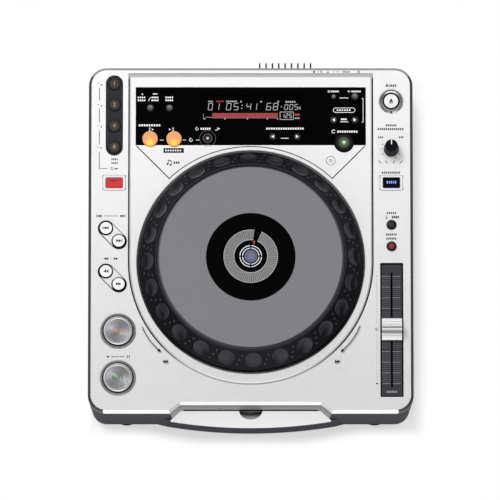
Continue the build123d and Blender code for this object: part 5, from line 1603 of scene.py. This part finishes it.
@dataclass
class RightStrip:
    """Eject button, knob, jog mode key, tempo keys and the tempo fader."""

    strip: float = STRIP
    x: float = 132.2
    plate: float = 82.2
    fader_y: float = -87.4
    majors: tuple[float, ...] = (20.6, 30.8, 41.0, 51.3)
    minors: tuple[float, ...] = (10.4, 12.6, 14.8, 17.0, 22.6, 24.7, 26.7, 28.8,
                                 *(30.8 + 2.05 * number for number in (1, 2, 3, 4, 6, 7, 8, 9)))
    scales: tuple[Point, ...] = ((122.9, 130.4), (132.9, 140.3))  # both ends of the left and the right lines
    track_half: float = 6.2
    mode_bars: tuple[float, ...] = (1.36, 0.85, 1.36, 0.85, 1.36)
    mode_pitch: float = 1.9
    knob_rays: tuple[Point, ...] = ((121.3, 1.3), (127.4, 0.6), (134.6, -0.6), (141.5, -1.3))  # x and lean

    def build(self) -> None:
        """Dresses the strip and prints its marks."""
        self.keys()
        self.knob()
        self.fader()
        self.ink()

    def keys(self) -> None:
        """Eject, jog mode and the two tempo keys."""
        dress_key("eject_button", WHITE_KEY, 81.0)
        marks = Spot.of("eject_button").sheet().triangle(0, 0.8, 3.4, 90.0, 1.2).bar(0, -1.9, 3.6, 0.9)
        marks.piece("eject_mark", "eject_button", BLACK_INK, "black_gloss")
        cap = Finish("mode_cap", paint(7, 8, 15), 0.2, shine=0.15, relief=0.002, patch=6.0, mottle=0.1)
        dress_key("jog_mode_button", cap, 80.0)
        bars = Spot.of("jog_mode_button").sheet()
        for number, width in enumerate(self.mode_bars):
            bars.bar(self.mode_pitch * (number - 2), 0.2, width, 2.4)
        bars.piece("mode_mark", "jog_mode_button", BLUE, "blue_key")
        # Painted highlight in the middle of the tempo range key.
        dark = RoundKey.over(Spot.of("tempo_range_button"), "range_cap", paint(9, 9, 10), 0.3, shine=0.2,
                             relief=0.002, core=paint(62, 64, 66), spread=2.9, dome=0.04)
        red = RoundKey.over(Spot.of("master_tempo_button"), "tempo_cap", paint(20, 8, 9), 0.3, shine=0.2,
                            relief=0.002, core=paint(150, 56, 56), start=0.6, spread=3.7, dome=0.04)
        for name, finish in (("tempo_range_button", dark), ("master_tempo_button", red)):
            dress_key(name, finish, 80.0)

    def knob(self) -> None:
        """The fluted knob with its white pointer line."""
        dress("tempo_knob", KNOB_BLACK)
        pointer = Spot.of("tempo_knob").sheet(-0.5).bar(0, 3.3, 0.9, 4.4, -0.1, 0.5)
        pointer.piece("knob_pointer", "knob", WHITE_INK_PAINTED_GLOW, "white_key")

    def fader(self) -> None:
        """The fader's dark plate and scale, its track, lever and silver cap, and a painted shadow round the
        plate.
        """
        dress("fader_plate", PLATE_DARK, INNER_BLACK_AND_PAINTED_SHADE, rule=facing_up(PLATE_DARK, 81.5))
        dress("fader_track", PLATED, INNER_BLACK_AND_PAINTED_SHADE,
              rule=lambda at, normal: INNER_BLACK_AND_PAINTED_SHADE if abs(at.x - self.x) < self.track_half else PLATED)
        dress("fader_carriage", INNER_BLACK_AND_PAINTED_SHADE)
        dress("fader_cap", FADER_SILVER, INNER_BLACK_AND_PAINTED_SHADE, FADER_PAINTED_SHADE, rule=self.cap_face)
        cap = Spot.of("fader_cap")
        line = Print(up_to(self.x, self.fader_y, cap.top)).bar(0, 0, 18.7, 1.0, -0.62, FILM)
        line.piece("fader_cap_line", "fader", BLACK_INK, "black_gloss")
        coarse = self.scale(self.majors).words(-5.0, 5.2, -59.0, 6)
        coarse.piece("fader_scale", "player", SCALE_INK, "plate_dark")
        faint = Finish("fine_ink", paint(88, 90, 95), 0.5, shine=0.2, relief=0.002, patch=5.0, mottle=0.08)
        self.scale(self.minors).piece("fader_fine_scale", "player", faint, "plate_dark")
        rim = Print(up_to(self.x, self.fader_y, self.plate)).draw(FADER_RIM_PAINTED_SHADOW)
        rim.piece("fader_rim_shade", "player", RIM_PAINTED_SHADOW, "plate_dark")

    def scale(self, offsets: Sequence[float]) -> Print:
        """The lines of the fader's scale, the same to both sides of its middle.

        Args:
            offsets: How far each line is from the middle.

        Returns:
            The marks, on the plate.
        """
        marks = Print(up_to(self.x, self.fader_y, self.plate))
        for offset in offsets:
            for low, high in self.scales:
                for side in (-1, 1):
                    marks.bar((low + high) / 2 - self.x, side * offset, high - low, 0.45)
        return marks

    @staticmethod
    def cap_face(at: Vector, normal: Vector) -> Finish:
        """The finish of a face of the fader cap: silver, hidden, or the ridge's front side in painted shade.

        Args:
            at: The face's middle, in millimetres.
            normal: Its normal.

        Returns:
            Its finish.
        """
        if normal.z < -LEANING:
            return INNER_BLACK_AND_PAINTED_SHADE
        return FADER_PAINTED_SHADE if normal.y < -0.6 and at.z > 88.8 else FADER_SILVER

    def ink(self) -> None:
        """The printed marks of the strip."""
        pale = Finish("pale_ink", paint(158, 158, 160), 0.55, shine=0.2, relief=0.002)
        Print(up_to(0, 0, self.strip)).draw(FADER_DOTS).piece("fader_dots", "player", pale, "black_gloss")
        marks = Print(up_to(0, 0, self.strip)).draw(RIGHT_INK)
        for x, lean in self.knob_rays:
            marks.stroke([(x - lean, 75.0), (x + lean * 0.3, 73.6), (x + lean, 72.4)], 0.7)
        marks.piece("right_ink", "player", BLACK_INK, "black_gloss")


# ---------------------------------------------------------------------------- the display panel
SCREEN_INK: Ink = {
    Mark.CELLS: (("01", -38.0, 127.2, 4.2, 7.0, 6.4, 0.55), ("05", -20.7, 127.2, 4.6, 7.0, 6.9, 0.55),
                 ("41", -1.9, 127.2, 4.4, 7.0, 5.6, 0.55), ("68", 17.0, 127.2, 4.6, 7.0, 6.4, 0.55),
                 ("005", 33.4, 126.8, 3.3, 5.6, 4.7, 0.5), ("125", 30.3, 118.3, 2.7, 4.6, 3.6, 0.55)),
    Mark.DOT: ((-8.1, 128.4, 0.5), (-8.5, 125.6, 0.5), (28.8, 127.2, 0.5), (-9.2, 132.0, 0.8),
               (9.8, 132.0, 0.8), (25.9, 132.0, 0.8)),
    Mark.LINE: (([(45.1, 124.6), (47.0, 127.0)], 0.5), ([(45.1, 127.0), (47.0, 124.6)], 0.5)),
    Mark.WORDS: ((-40.2, -35.2, 132.2, 3, 1.0, 0.7), (-23.1, -12.6, 132.2, 6, 1.2, 0.7),
                 (32.6, 42.6, 131.8, 5, 1.5), (41.4, 46.4, 116.0, 3, 1.2, 0.7)),
    Mark.BAR: ((-44.8, 118.0, 1.0, 5.2), (-43.7, 115.4, 2.2, 0.9), (-39.6, 116.9, 5.6, 0.35),
               (-5.4, 116.3, 61.8, 0.3), (-24.4, 115.4, 0.8, 1.5), (-3.2, 115.4, 0.8, 1.5),
               (15.6, 115.4, 0.8, 1.5), (25.3, 115.4, 0.8, 1.5), (33.9, 122.0, 13.0, 0.5),
               (33.9, 114.7, 13.0, 0.5), (27.6, 118.35, 0.5, 6.9), (40.2, 118.35, 0.5, 6.9)),
}
RED_INK: Ink = {
    Mark.WORDS: ((-32.4, -25.2, 132.2, 4, 1.0, 0.7), (41.4, 46.4, 119.4, 3, 2.2, 0.7)),
}
WINDOW_INK: Ink = {
    Mark.DOT: ((-102.1, 138.5, 0.7),),
    Mark.BAR: ((-90.0, 138.9, 4.4, 0.9), (-83.7, 94.3, 3.8, 0.5), (-62.4, 94.4, 3.0, 0.5),
               (-50.0, 94.4, 3.0, 0.5), (32.1, 96.1, 7.4, 0.6), (92.4, 141.3, 2.4, 0.5),
               (92.4, 141.3, 0.5, 2.2), (87.8, 135.0, 8.4, 0.6), (87.9, 111.9, 7.6, 0.6)),
    Mark.LINE: (([(-96.3, 132.2), (-94.3, 135.6)], 0.5),
                ([(-93.9, 105.9), (-95.4, 105.9), (-95.4, 103.3), (-93.9, 103.3)], 0.5),
                ([(-74.3, 103.3), (-72.8, 103.3), (-72.8, 105.9), (-74.3, 105.9)], 0.5),
                ([(-33.6, 104.0), (-31.2, 104.0), (-31.2, 106.6)], 0.5),
                ([(72.6, 140.3), (74.8, 142.3)], 0.5), ([(72.6, 142.3), (74.8, 140.3)], 0.5),
                ([(104.4, 111.7), (105.8, 111.7), (105.8, 134.5), (104.4, 134.5)], 0.45)),
    Mark.WORDS: ((-106.4, -98.8, 135.5, 4, 1.5), (-106.4, -98.8, 132.7, 4, 1.5, 0.72),
                 (-93.4, -86.4, 135.5, 4, 1.5), (-93.4, -86.4, 132.7, 4, 1.5, 0.72),
                 (-80.4, -72.6, 135.5, 4, 1.5), (-80.4, -72.6, 132.7, 4, 1.5, 0.72),
                 (-105.3, -84.4, 108.6, 9), (-47.2, -37.2, 105.3, 5), (14.6, 50.6, 105.4, 16),
                 (75.8, 83.4, 141.3, 4, 1.6), (94.9, 104.2, 141.3, 5, 1.6), (81.0, 94.8, 123.2, 6, 1.3, 0.62),
                 (85.0, 90.8, 114.4, 3, 1.7, 0.72), (81.4, 101.2, 102.5, 9)),
    Mark.HEAD: ((-92.2, 104.6, 1.8), (-76.0, 104.6, 1.8), (-29.6, 105.3, 1.8), (78.8, 104.0, 1.6)),
    Mark.LOOP: ((-56.3, 94.4, 2.8), (-50.6, 105.3, 2.4)),
    Mark.ARC: ((77.8, 102.6, 1.5, 0.5, 60, 330),),
    Mark.CAPSULE: ((87.9, 123.2, 20.8, 4.8, 0.5),),
}
DECK_INK: Ink = {  # a tab below the window, a note with three dashes, and a ring
    Mark.BAR: ((-72.5, 84.3, 19.2, 4.6),),
    Mark.LINE: (([(-77.6, 71.2), (-77.6, 75.2)], 0.55), ([(-74.6, 70.4), (-74.6, 74.4)], 0.55),
                ([(-77.7, 75.0), (-74.5, 74.2)], 0.9)),
    Mark.DOT: ((-78.3, 71.2, 0.95, 16), (-75.3, 70.4, 0.95, 16)),
    Mark.WORDS: ((-72.6, -66.4, 72.6, 3, 2.2, 0.7),),
    Mark.ARC: ((75.3, 74.5, 4.2, 0.45, 0, 360), (75.3, 74.5, 1.2, 0.45, 0, 360)),
}
TAB_INK: Ink = {
    Mark.WORDS: ((-80.4, -64.6, 84.3, 7, 1.5, 0.62),),
}


@dataclass
class DisplayField:
    """The smoked window, the lit screen under it and the keys round it."""

    window: float = DECK
    glass: float = 82.5
    screen: Point = (2.5, 123.8)
    screen_size: Point = (96.0, 30.0)
    bar_count: int = 41
    first_bar: Point = (-35.8, 118.9)
    bar_pitch: float = 1.52
    bar_size: Point = (0.85, 3.9)
    bar_field: tuple[float, ...] = (-5.4, 118.9, 61.8, 4.3)
    pointers: tuple[tuple[str, float], ...] = (
        ("folder_back_button", 180.0), ("folder_next_button", 0.0), ("call_back_button", 180.0),
        ("call_next_button", 0.0))

    def build(self) -> None:
        """Dresses the window and its keys, and adds what is lit and printed."""
        self.panes()
        self.small_keys()
        self.loop_keys()
        self.return_key()
        self.screen_marks()
        self.ink()

    def panes(self) -> None:
        """The window, clear over the screen."""
        wide, deep = self.screen_size
        pane = Smoked("smoked_window", paint(4, 4, 5), 0.1, shine=0.12, relief=0.0003, patch=60.0,
                      middle=self.screen, half=(wide / 2 - 0.6, deep / 2 - 0.6), clear=0.92)
        dress("display_window", pane, GLOSS_BLACK,
              rule=lambda at, normal: pane if abs(normal.z) > 0.9 else GLOSS_BLACK)

    def small_keys(self) -> None:
        """The plain keys, and those with an arrow head."""
        plain = Finish("panel_key", paint(32, 32, 35), 0.32, shine=0.4, relief=0.003, grain=0.4)
        for name in ("time_mode_button", "text_mode_button", "delete_button", "memory_button"):
            spot = Spot.of(name)
            # A painted highlight, a little behind the middle of each cap.
            painted_highlight_cap = RoundKey(f"{name}_cap", paint(26, 26, 28), 0.32, shine=0.4, relief=0.003, x=spot.x + 0.3,
                              y=spot.y + 1.8, core=paint(120, 120, 122), spread=4.6)
            dress_key(name, painted_highlight_cap, 82.0)
        for name, turn in self.pointers:
            dress_key(name, plain, 82.0)
            head = Spot.of(name).sheet().triangle(0, 0, 2.6, turn, 1.3)
            head.piece(f"{name}_mark", name, WHITE_INK_PAINTED_GLOW, "white_key")

    def loop_keys(self) -> None:
        """The two amber keys and the dark one with a lamp."""
        for name in ("loop_in_button", "loop_out_button"):
            spot = Spot.of(name)
            amber = RoundKey(f"{name}_cap", paint(230, 158, 96), 0.34, shine=0.4, relief=0.002, x=spot.x,
                             y=spot.y - 4.0, core=paint(250, 206, 84), start=0.5, spread=6.0, glow=0.12)
            dress_key(name, amber, 82.4)
        spot = Spot.of("reloop_button")
        warm = RoundKey.over(spot, "reloop_cap", paint(12, 12, 13), 0.34, shine=0.2, relief=0.002,
                             core=paint(226, 206, 172), start=0.3, spread=1.9, glow=0.1)
        dress_key("reloop_button", warm, 82.4)
        inner = spot.sheet().arc(0, 0, 4.1, 0.35, 0, 360)
        inner.piece("reloop_ring", "reloop_button", GREY_INK, "black_gloss")
        outer = Print(up_to(spot.x, spot.y, self.window)).arc(0, 0, 7.6, 0.3, 0, 360)
        outer.piece("reloop_window_ring", "player", GREY_INK, "black_gloss")

    def return_key(self) -> None:
        """The large dark key with a green lamp."""
        spot = Spot.of("quick_return_button")
        # Painted highlight: a paler, greenish ring round the lamp on the dark cap.
        cap = RoundKey.over(spot, "return_cap", paint(12, 12, 13), 0.34, shine=0.2, relief=0.002,
                            core=paint(74, 84, 70), start=4.4, spread=5.6)
        dress("quick_return_button", cap, INNER_BLACK_AND_PAINTED_SHADE, rule=lambda at, normal: (
            cap if at.z > 84.6 and away(at, spot.x, spot.y) < 7.6 else INNER_BLACK_AND_PAINTED_SHADE))
        lamp = RoundKey.over(spot, "return_lamp", paint(98, 142, 84), 0.4, relief=0.002,
                             core=paint(190, 226, 168), spread=2.2, glow=0.2)
        spot.sheet().disc(0, 0, 2.3).piece("return_lamp", "quick_return_button", lamp, "white_key")

    def screen_marks(self) -> None:
        """Time in large figures with small marks, and the red line of short bars on a dim field."""
        white, red, dim = (Print(up_to(0.0, 0.0, self.glass)) for _ in range(3))
        white.draw(SCREEN_INK).piece("screen_figures", "player", LIT_WHITE, "white_key")
        x, y = self.first_bar
        for number in range(self.bar_count):
            red.bar(x + self.bar_pitch * number, y, *self.bar_size)
        red.draw(RED_INK).piece("screen_bars", "player", LIT_RED, "red_key")
        dim.bar(*self.bar_field, 0.0, FILM / 2)
        dim.piece("screen_glow", "player", lit("dim_red", paint(96, 16, 16), 0.3, 0.15), "red_key")

    def ink(self) -> None:
        """The marks on the window, on the deck below it, and on its black tab."""
        for name, table, finish, slot, lift in (("window_ink", WINDOW_INK, WHITE_INK_PAINTED_GLOW, "white_key", 0.0),
                                                ("deck_ink", DECK_INK, BLACK_INK, "black_gloss", 0.0),
                                                ("tab_ink", TAB_INK, WHITE_INK_PAINTED_GLOW, "white_key", 2 * FILM)):
            Print(up_to(0, 0, self.window + lift)).draw(table).piece(name, "player", finish, slot)


@dataclass
class DeckMarks:
    """The two turning arrows printed beside the jog wheel."""

    deck: float = DECK
    left: tuple[Point, ...] = ((-101.7, -84.9), (-94.6, -97.6), (-85.2, -107.9))
    right: tuple[Point, ...] = ((102.5, -83.9), (95.2, -97.2), (85.4, -107.9))
    left_label: Point = (-80.2, -118.0)
    right_label: Point = (81.4, -118.0)

    def build(self) -> None:
        """Prints the arrows and their small marks."""
        marks = Print(up_to(0, 0, self.deck))
        for path, label, turn in ((self.left, self.left_label, 180.0), (self.right, self.right_label, 0.0)):
            smooth = self.curve(path)
            marks.stroke(smooth, 0.85)
            end = Vector(smooth[-1])
            lean = math.degrees(math.atan2(end.y - smooth[-2][1], end.x - smooth[-2][0]))
            marks.triangle(end.x, end.y, 3.6, lean, 0.9)
            marks.heads(*label, 2.8, turn)
        marks.piece("turning_arrows", "player", BLACK_INK, "black_gloss")

    @staticmethod
    def curve(path: Sequence[Point]) -> list[Point]:
        """Points along a smooth bend through three points.

        Args:
            path: The three points.

        Returns:
            The points along the bend.
        """
        first, middle, last = (Vector(point) for point in path)
        bend = middle * 2 - (first + last) / 2
        steps = [number / 8 for number in range(9)]
        points = [first * (1 - t) ** 2 + bend * 2 * t * (1 - t) + last * t * t for t in steps]
        return [(point.x, point.y) for point in points]


# ---------------------------------------------------------------------------- rear and inside
REAR_INK: Ink = {
    Mark.BAR: ((59.6, 160.7, 1.8, 1.8), (78.1, 160.7, 0.5, 1.8), (82.0, 160.7, 3.6, 0.45),
               (101.6, 161.5, 0.45, 1.4)),
    Mark.LINE: (([(62.6, 160.7), (64.2, 160.7)], 0.5),),
    Mark.ARC: ((66.4, 160.7, 0.9, 0.4, 0, 360), (101.6, 160.7, 1.1, 0.45, 120, 420)),
    Mark.HEAD: ((72.7, 160.7, 1.9, 90.0, 1.2),),
    Mark.WORDS: ((86.2, 94.0, 160.7, 4, 1.3, 0.62),),
}


@dataclass
class RearPanel:
    """The black rear panel with its fins, sockets, mains inlet and switch, and the marks above it."""

    face: float = 164.8
    socket_height: float = 44.0
    label_height: float = 56.0
    phono: tuple[float, ...] = (-104.0, -86.0, -58.0)
    phono_marks: tuple[int, ...] = (2, 1, 3)
    jack: float = -30.0
    inlet: Point = (96.0, 34.0)
    pins: Point = (9.0, 1.6)  # half the width and height of the row of pins
    strip: float = STRIP

    def build(self) -> None:
        """Dresses the rear and prints its marks."""
        dress("rear_panel", BLACK_STEEL, INNER_BLACK_AND_PAINTED_SHADE,
              rule=lambda at, normal: INNER_BLACK_AND_PAINTED_SHADE if at.y > self.face + 0.6 else BLACK_STEEL)
        dress("rear_jacks", SOCKET, NICKEL, SOCKET_RED, SOCKET_WHITE, SOCKET_ORANGE,
              rule=self.socket_face)
        dress("power_button", BLACK_KEY)
        marks = Print(up_to(0, 0, self.strip)).draw(REAR_INK)
        marks.piece("rear_edge_ink", "player", BLACK_INK, "black_gloss")
        self.socket_ink()

    def socket_face(self, at: Vector, normal: Vector) -> Finish:
        """The finish of a face of the sockets.

        Args:
            at: The face's middle, in millimetres.
            normal: Not used.

        Returns:
            Its finish.
        """
        if at.y >= self.face - 0.4:
            for x, ring in zip(self.phono, (SOCKET_WHITE, SOCKET_RED, SOCKET_ORANGE)):
                if math.hypot(at.x - x, at.z - self.socket_height) < 9:
                    return NICKEL if at.y > self.face + 1.6 else ring
            if math.hypot(at.x - self.jack, at.z - self.socket_height) < 5:
                return NICKEL
        on_pins = abs(at.x - self.inlet[0]) < self.pins[0] and abs(at.z - self.inlet[1]) < self.pins[1]
        return NICKEL if on_pins else SOCKET

    def socket_ink(self) -> None:
        """White marks on the rear panel beside the sockets."""
        marks = Print(facing_rear(0, self.face, 0))
        for x, count in zip(self.phono, self.phono_marks):
            for step in range(count):
                marks.bar(-x - 1.2 + 1.2 * step, self.label_height, 0.6, 2.2)
        marks.arc(-self.jack, self.label_height, 1.4, 0.5, 0, 360)
        marks.piece("socket_ink", "player", WHITE_INK_PAINTED_GLOW, "white_key")


@dataclass
class Inside:
    """The plate, the boards and the disc drive under the covers."""

    post: float = 6.0
    board: float = 1.6
    tall: float = 26.0
    screen: float = 80.4
    roller_half: float = 61.0

    def build(self) -> None:
        """Dresses what the case hides."""
        dress("base_plate", PLATED)
        for node in ("main_board", "power_supply"):
            level = Spot.of(node).low + self.post + self.board + 0.05
            dress(node, BOARD, CHIP, NICKEL, LACQUER_YELLOW, rule=self.board_rule(level))
        panel_level = Spot.of("panel_boards").low + self.board + 0.05
        dress("panel_boards", BOARD, CHIP, GLOSS_BLACK, rule=lambda at, normal: (
            GLOSS_BLACK if at.z > self.screen else CHIP if at.z > panel_level else BOARD))
        dress("drive_chassis", PLATED)
        dress("disc_spindle", GREY_PLASTIC)
        dress("disc_clamper", CREAM_PLASTIC)
        dress("loading_roller", RUBBER, CREAM_PLASTIC,
              rule=lambda at, normal: CREAM_PLASTIC if abs(at.x) > self.roller_half else RUBBER)
        lens = Finish("lens_glass", paint(60, 70, 120), 0.05, coat=1.0, relief=0.0003)
        dress("pickup_sled", GREY_PLASTIC, lens,
              rule=above(Spot.of("pickup_sled").top - 0.3, lens, GREY_PLASTIC))

    def board_rule(self, level: float) -> Rule:
        """Tells the board from its chips, posts, cans and transformer.

        Args:
            level: The height of the board's top.

        Returns:
            The rule that dress() takes.
        """
        def rule(at: Vector, normal: Vector) -> Finish:
            """The finish of a face of the board.

            Args:
                at: The face's middle, in millimetres.
                normal: Not used.

            Returns:
                Its finish.
            """
            if at.z < level - self.board - 0.1:
                return NICKEL
            if at.z <= level:
                return BOARD
            return LACQUER_YELLOW if at.z > level + self.tall else CHIP
        return rule


# ---------------------------------------------------------------------------- studio
@dataclass
class Studio:
    """A pale floor, soft light and the camera."""

    tilt: float = 12.0
    distance: float = 8.0
    target: tuple[float, float, float] = (-0.0007, -0.01097, 0.0828)
    lens: float = 613.7
    sun: float = 1.0
    sun_side: tuple[float, float, float] = (-0.45, 0.42, 1.0)
    sun_angle: float = 22.0
    horizon: float = 0.34
    overhead: float = 0.95
    rear_glow: float = 0.4
    front_glow: float = 1.2
    floor_glow: float = 0.36
    floor_white: float = 0.98
    floor_grey: float = 0.55
    floor_half: float = 60.0
    footprint: tuple[float, float, float, float] = (-152.5, 152.5, -174.0, 165.0)
    fade: float = 12.0
    side_share: float = 0.7  # how much slower the shade fades to the sides
    side_shade: Point = (0.85, 0.6)  # how dark the right and the left of the room are
    card_shade: float = 0.96
    nose: float = 10.0  # how much further forward the case reaches in its middle
    nose_span: Point = (40.0, 115.0)
    card: tuple[float, float, float] = (0.0, 0.208, 0.978)  # a dark card over the player
    card_edge: Point = (0.974, 0.99)

    def build(self) -> None:
        """Sets up everything round the player."""
        bpy.context.scene.view_settings.view_transform = "Standard"
        self.floor()
        self.light()
        self.world()
        self.camera()

    def floor(self) -> None:
        """A wide floor that looks white, and sends less light back up."""
        made = bpy.data.materials.new("studio_floor")
        made.use_nodes = True
        graph = Graph(made.node_tree)
        shader = made.node_tree.nodes["Principled BSDF"]
        seen = self.seen(graph)
        wander = graph.noise(60.0, 2.0) * 0.01
        white = graph.mix(wander, (self.floor_white,) * 3, (0.9, 0.9, 0.9))
        graph.feed(shader.inputs["Base Color"], graph.mix(seen, (self.floor_grey,) * 3, white))
        shader.inputs["Roughness"].default_value = 1.0
        shader.inputs["Specular IOR Level"].default_value = 0.0
        pale = graph.node("ShaderNodeEmission", None, {"Color": (1.0, 1.0, 1.0), "Strength": 1.0})
        share = self.beside(graph) * (1.0 - self.floor_glow) + self.floor_glow
        inputs = {0: seen * share, 1: shader.outputs[0], 2: pale.outputs[0]}
        both = graph.node("ShaderNodeMixShader", None, inputs)
        graph.feed(made.node_tree.nodes["Material Output"].inputs["Surface"], both.outputs[0])
        mesh = bpy.data.meshes.new("studio_floor")
        far = self.floor_half
        mesh.from_pydata([(-far, -far, 0), (far, -far, 0), (far, far, 0), (-far, far, 0)], [], [(0, 1, 2, 3)])
        mesh.materials.append(made)
        floor = bpy.data.objects.new("studio_floor", mesh)
        bpy.context.scene.collection.objects.link(floor)

    def beside(self, graph: Graph) -> Sock:
        """0 where the floor touches the player, rising to 1 a finger's width away.

        Args:
            graph: The floor's nodes.

        Returns:
            The share of light.
        """
        x, y, _ = graph.place()
        left, right, front, rear = self.footprint
        nose = abs(x).step(*self.nose_span) * self.nose
        away_x, away_y = (x - right).most(0.0) * self.side_share, (nose - y + front).most(0.0)
        round_corner = (away_x.power(2.0) + away_y.power(2.0)).power(0.5).step(-2.0, self.fade)
        return round_corner.most((-x + left).step(-4.0, 1.0)).most((y - rear).step(0.0, 8.0))

    @staticmethod
    def seen(graph: Graph) -> Sock:
        """1 for a ray from the camera, or one that gloss or glass sends on.

        Args:
            graph: The floor's nodes.

        Returns:
            The mask.
        """
        path = graph.node("ShaderNodeLightPath")
        seen = graph.pick(path, "Is Camera Ray").most(graph.pick(path, "Is Glossy Ray"))
        return seen.most(graph.pick(path, "Is Transmission Ray"))

    def light(self) -> None:
        """A large soft lamp from the rear left."""
        lamp = bpy.data.lights.new("key_light", "SUN")
        lamp.energy = self.sun
        lamp.angle = math.radians(self.sun_angle)
        holder = bpy.data.objects.new("key_light", lamp)
        holder.rotation_euler = Vector(self.sun_side).to_track_quat("Z", "Y").to_euler()
        bpy.context.scene.collection.objects.link(holder)

    def world(self) -> None:
        """A soft box overhead with a dark card in it, glows at the rear and front, and dark sides."""
        world = bpy.data.worlds.new("studio")
        bpy.context.scene.world = world
        world.use_nodes = True
        graph = Graph(world.node_tree)
        where = graph.node("ShaderNodeTexCoord")
        parts = graph.node("ShaderNodeSeparateXYZ", None, {0: where.outputs["Generated"]})
        side, ahead, up = (graph.pick(parts, n) for n in range(3))
        low = 1.0 - up.step(0.3, 0.75)
        level = up.step(0.15, 0.85) * (self.overhead - self.horizon) + self.horizon
        level = level + ahead.step(0.3, 0.9) * low * self.rear_glow
        level = level + (-ahead).step(0.2, 0.8) * low * self.front_glow
        for way, shade in zip((side, -side), self.side_shade):
            level = level * (1.0 - way.step(0.3, 0.85) * low * shade)
        facing = side * self.card[0] + ahead * self.card[1] + up * self.card[2]
        level = level * (1.0 - facing.step(*self.card_edge) * self.card_shade)
        level = level.most(1.0 - up.step(-0.02, 0.0))
        background = world.node_tree.nodes["Background"]
        background.inputs["Color"].default_value = (1.0, 1.0, 1.0, 1.0)
        graph.feed(background.inputs["Strength"], level)

    def camera(self) -> None:
        """The camera over the player, a little towards the user."""
        data = bpy.data.cameras.new("camera")
        data.lens, data.sensor_width, data.clip_end = self.lens, 36.0, 100.0
        camera = bpy.data.objects.new("camera", data)
        bpy.context.scene.collection.objects.link(camera)
        lean = math.radians(self.tilt)
        back = Vector((0.0, -math.sin(lean), math.cos(lean)))
        camera.location = Vector(self.target) + back * self.distance
        camera.rotation_euler = (lean, 0.0, 0.0)
        bpy.context.scene.camera = camera


def main() -> None:
    """Builds every part of the scene in order."""
    logging.basicConfig(level=logging.INFO, format="%(name)s %(message)s")
    for part in (Case(), FrontMouth(), JogWheel(), LeftStrip(), RightStrip(), DisplayField(), DeckMarks(),
                 RearPanel(), Inside(), Studio()):
        part.build()
        log.info("built %s", type(part).__name__)


if __name__ == "__main__":
    main()
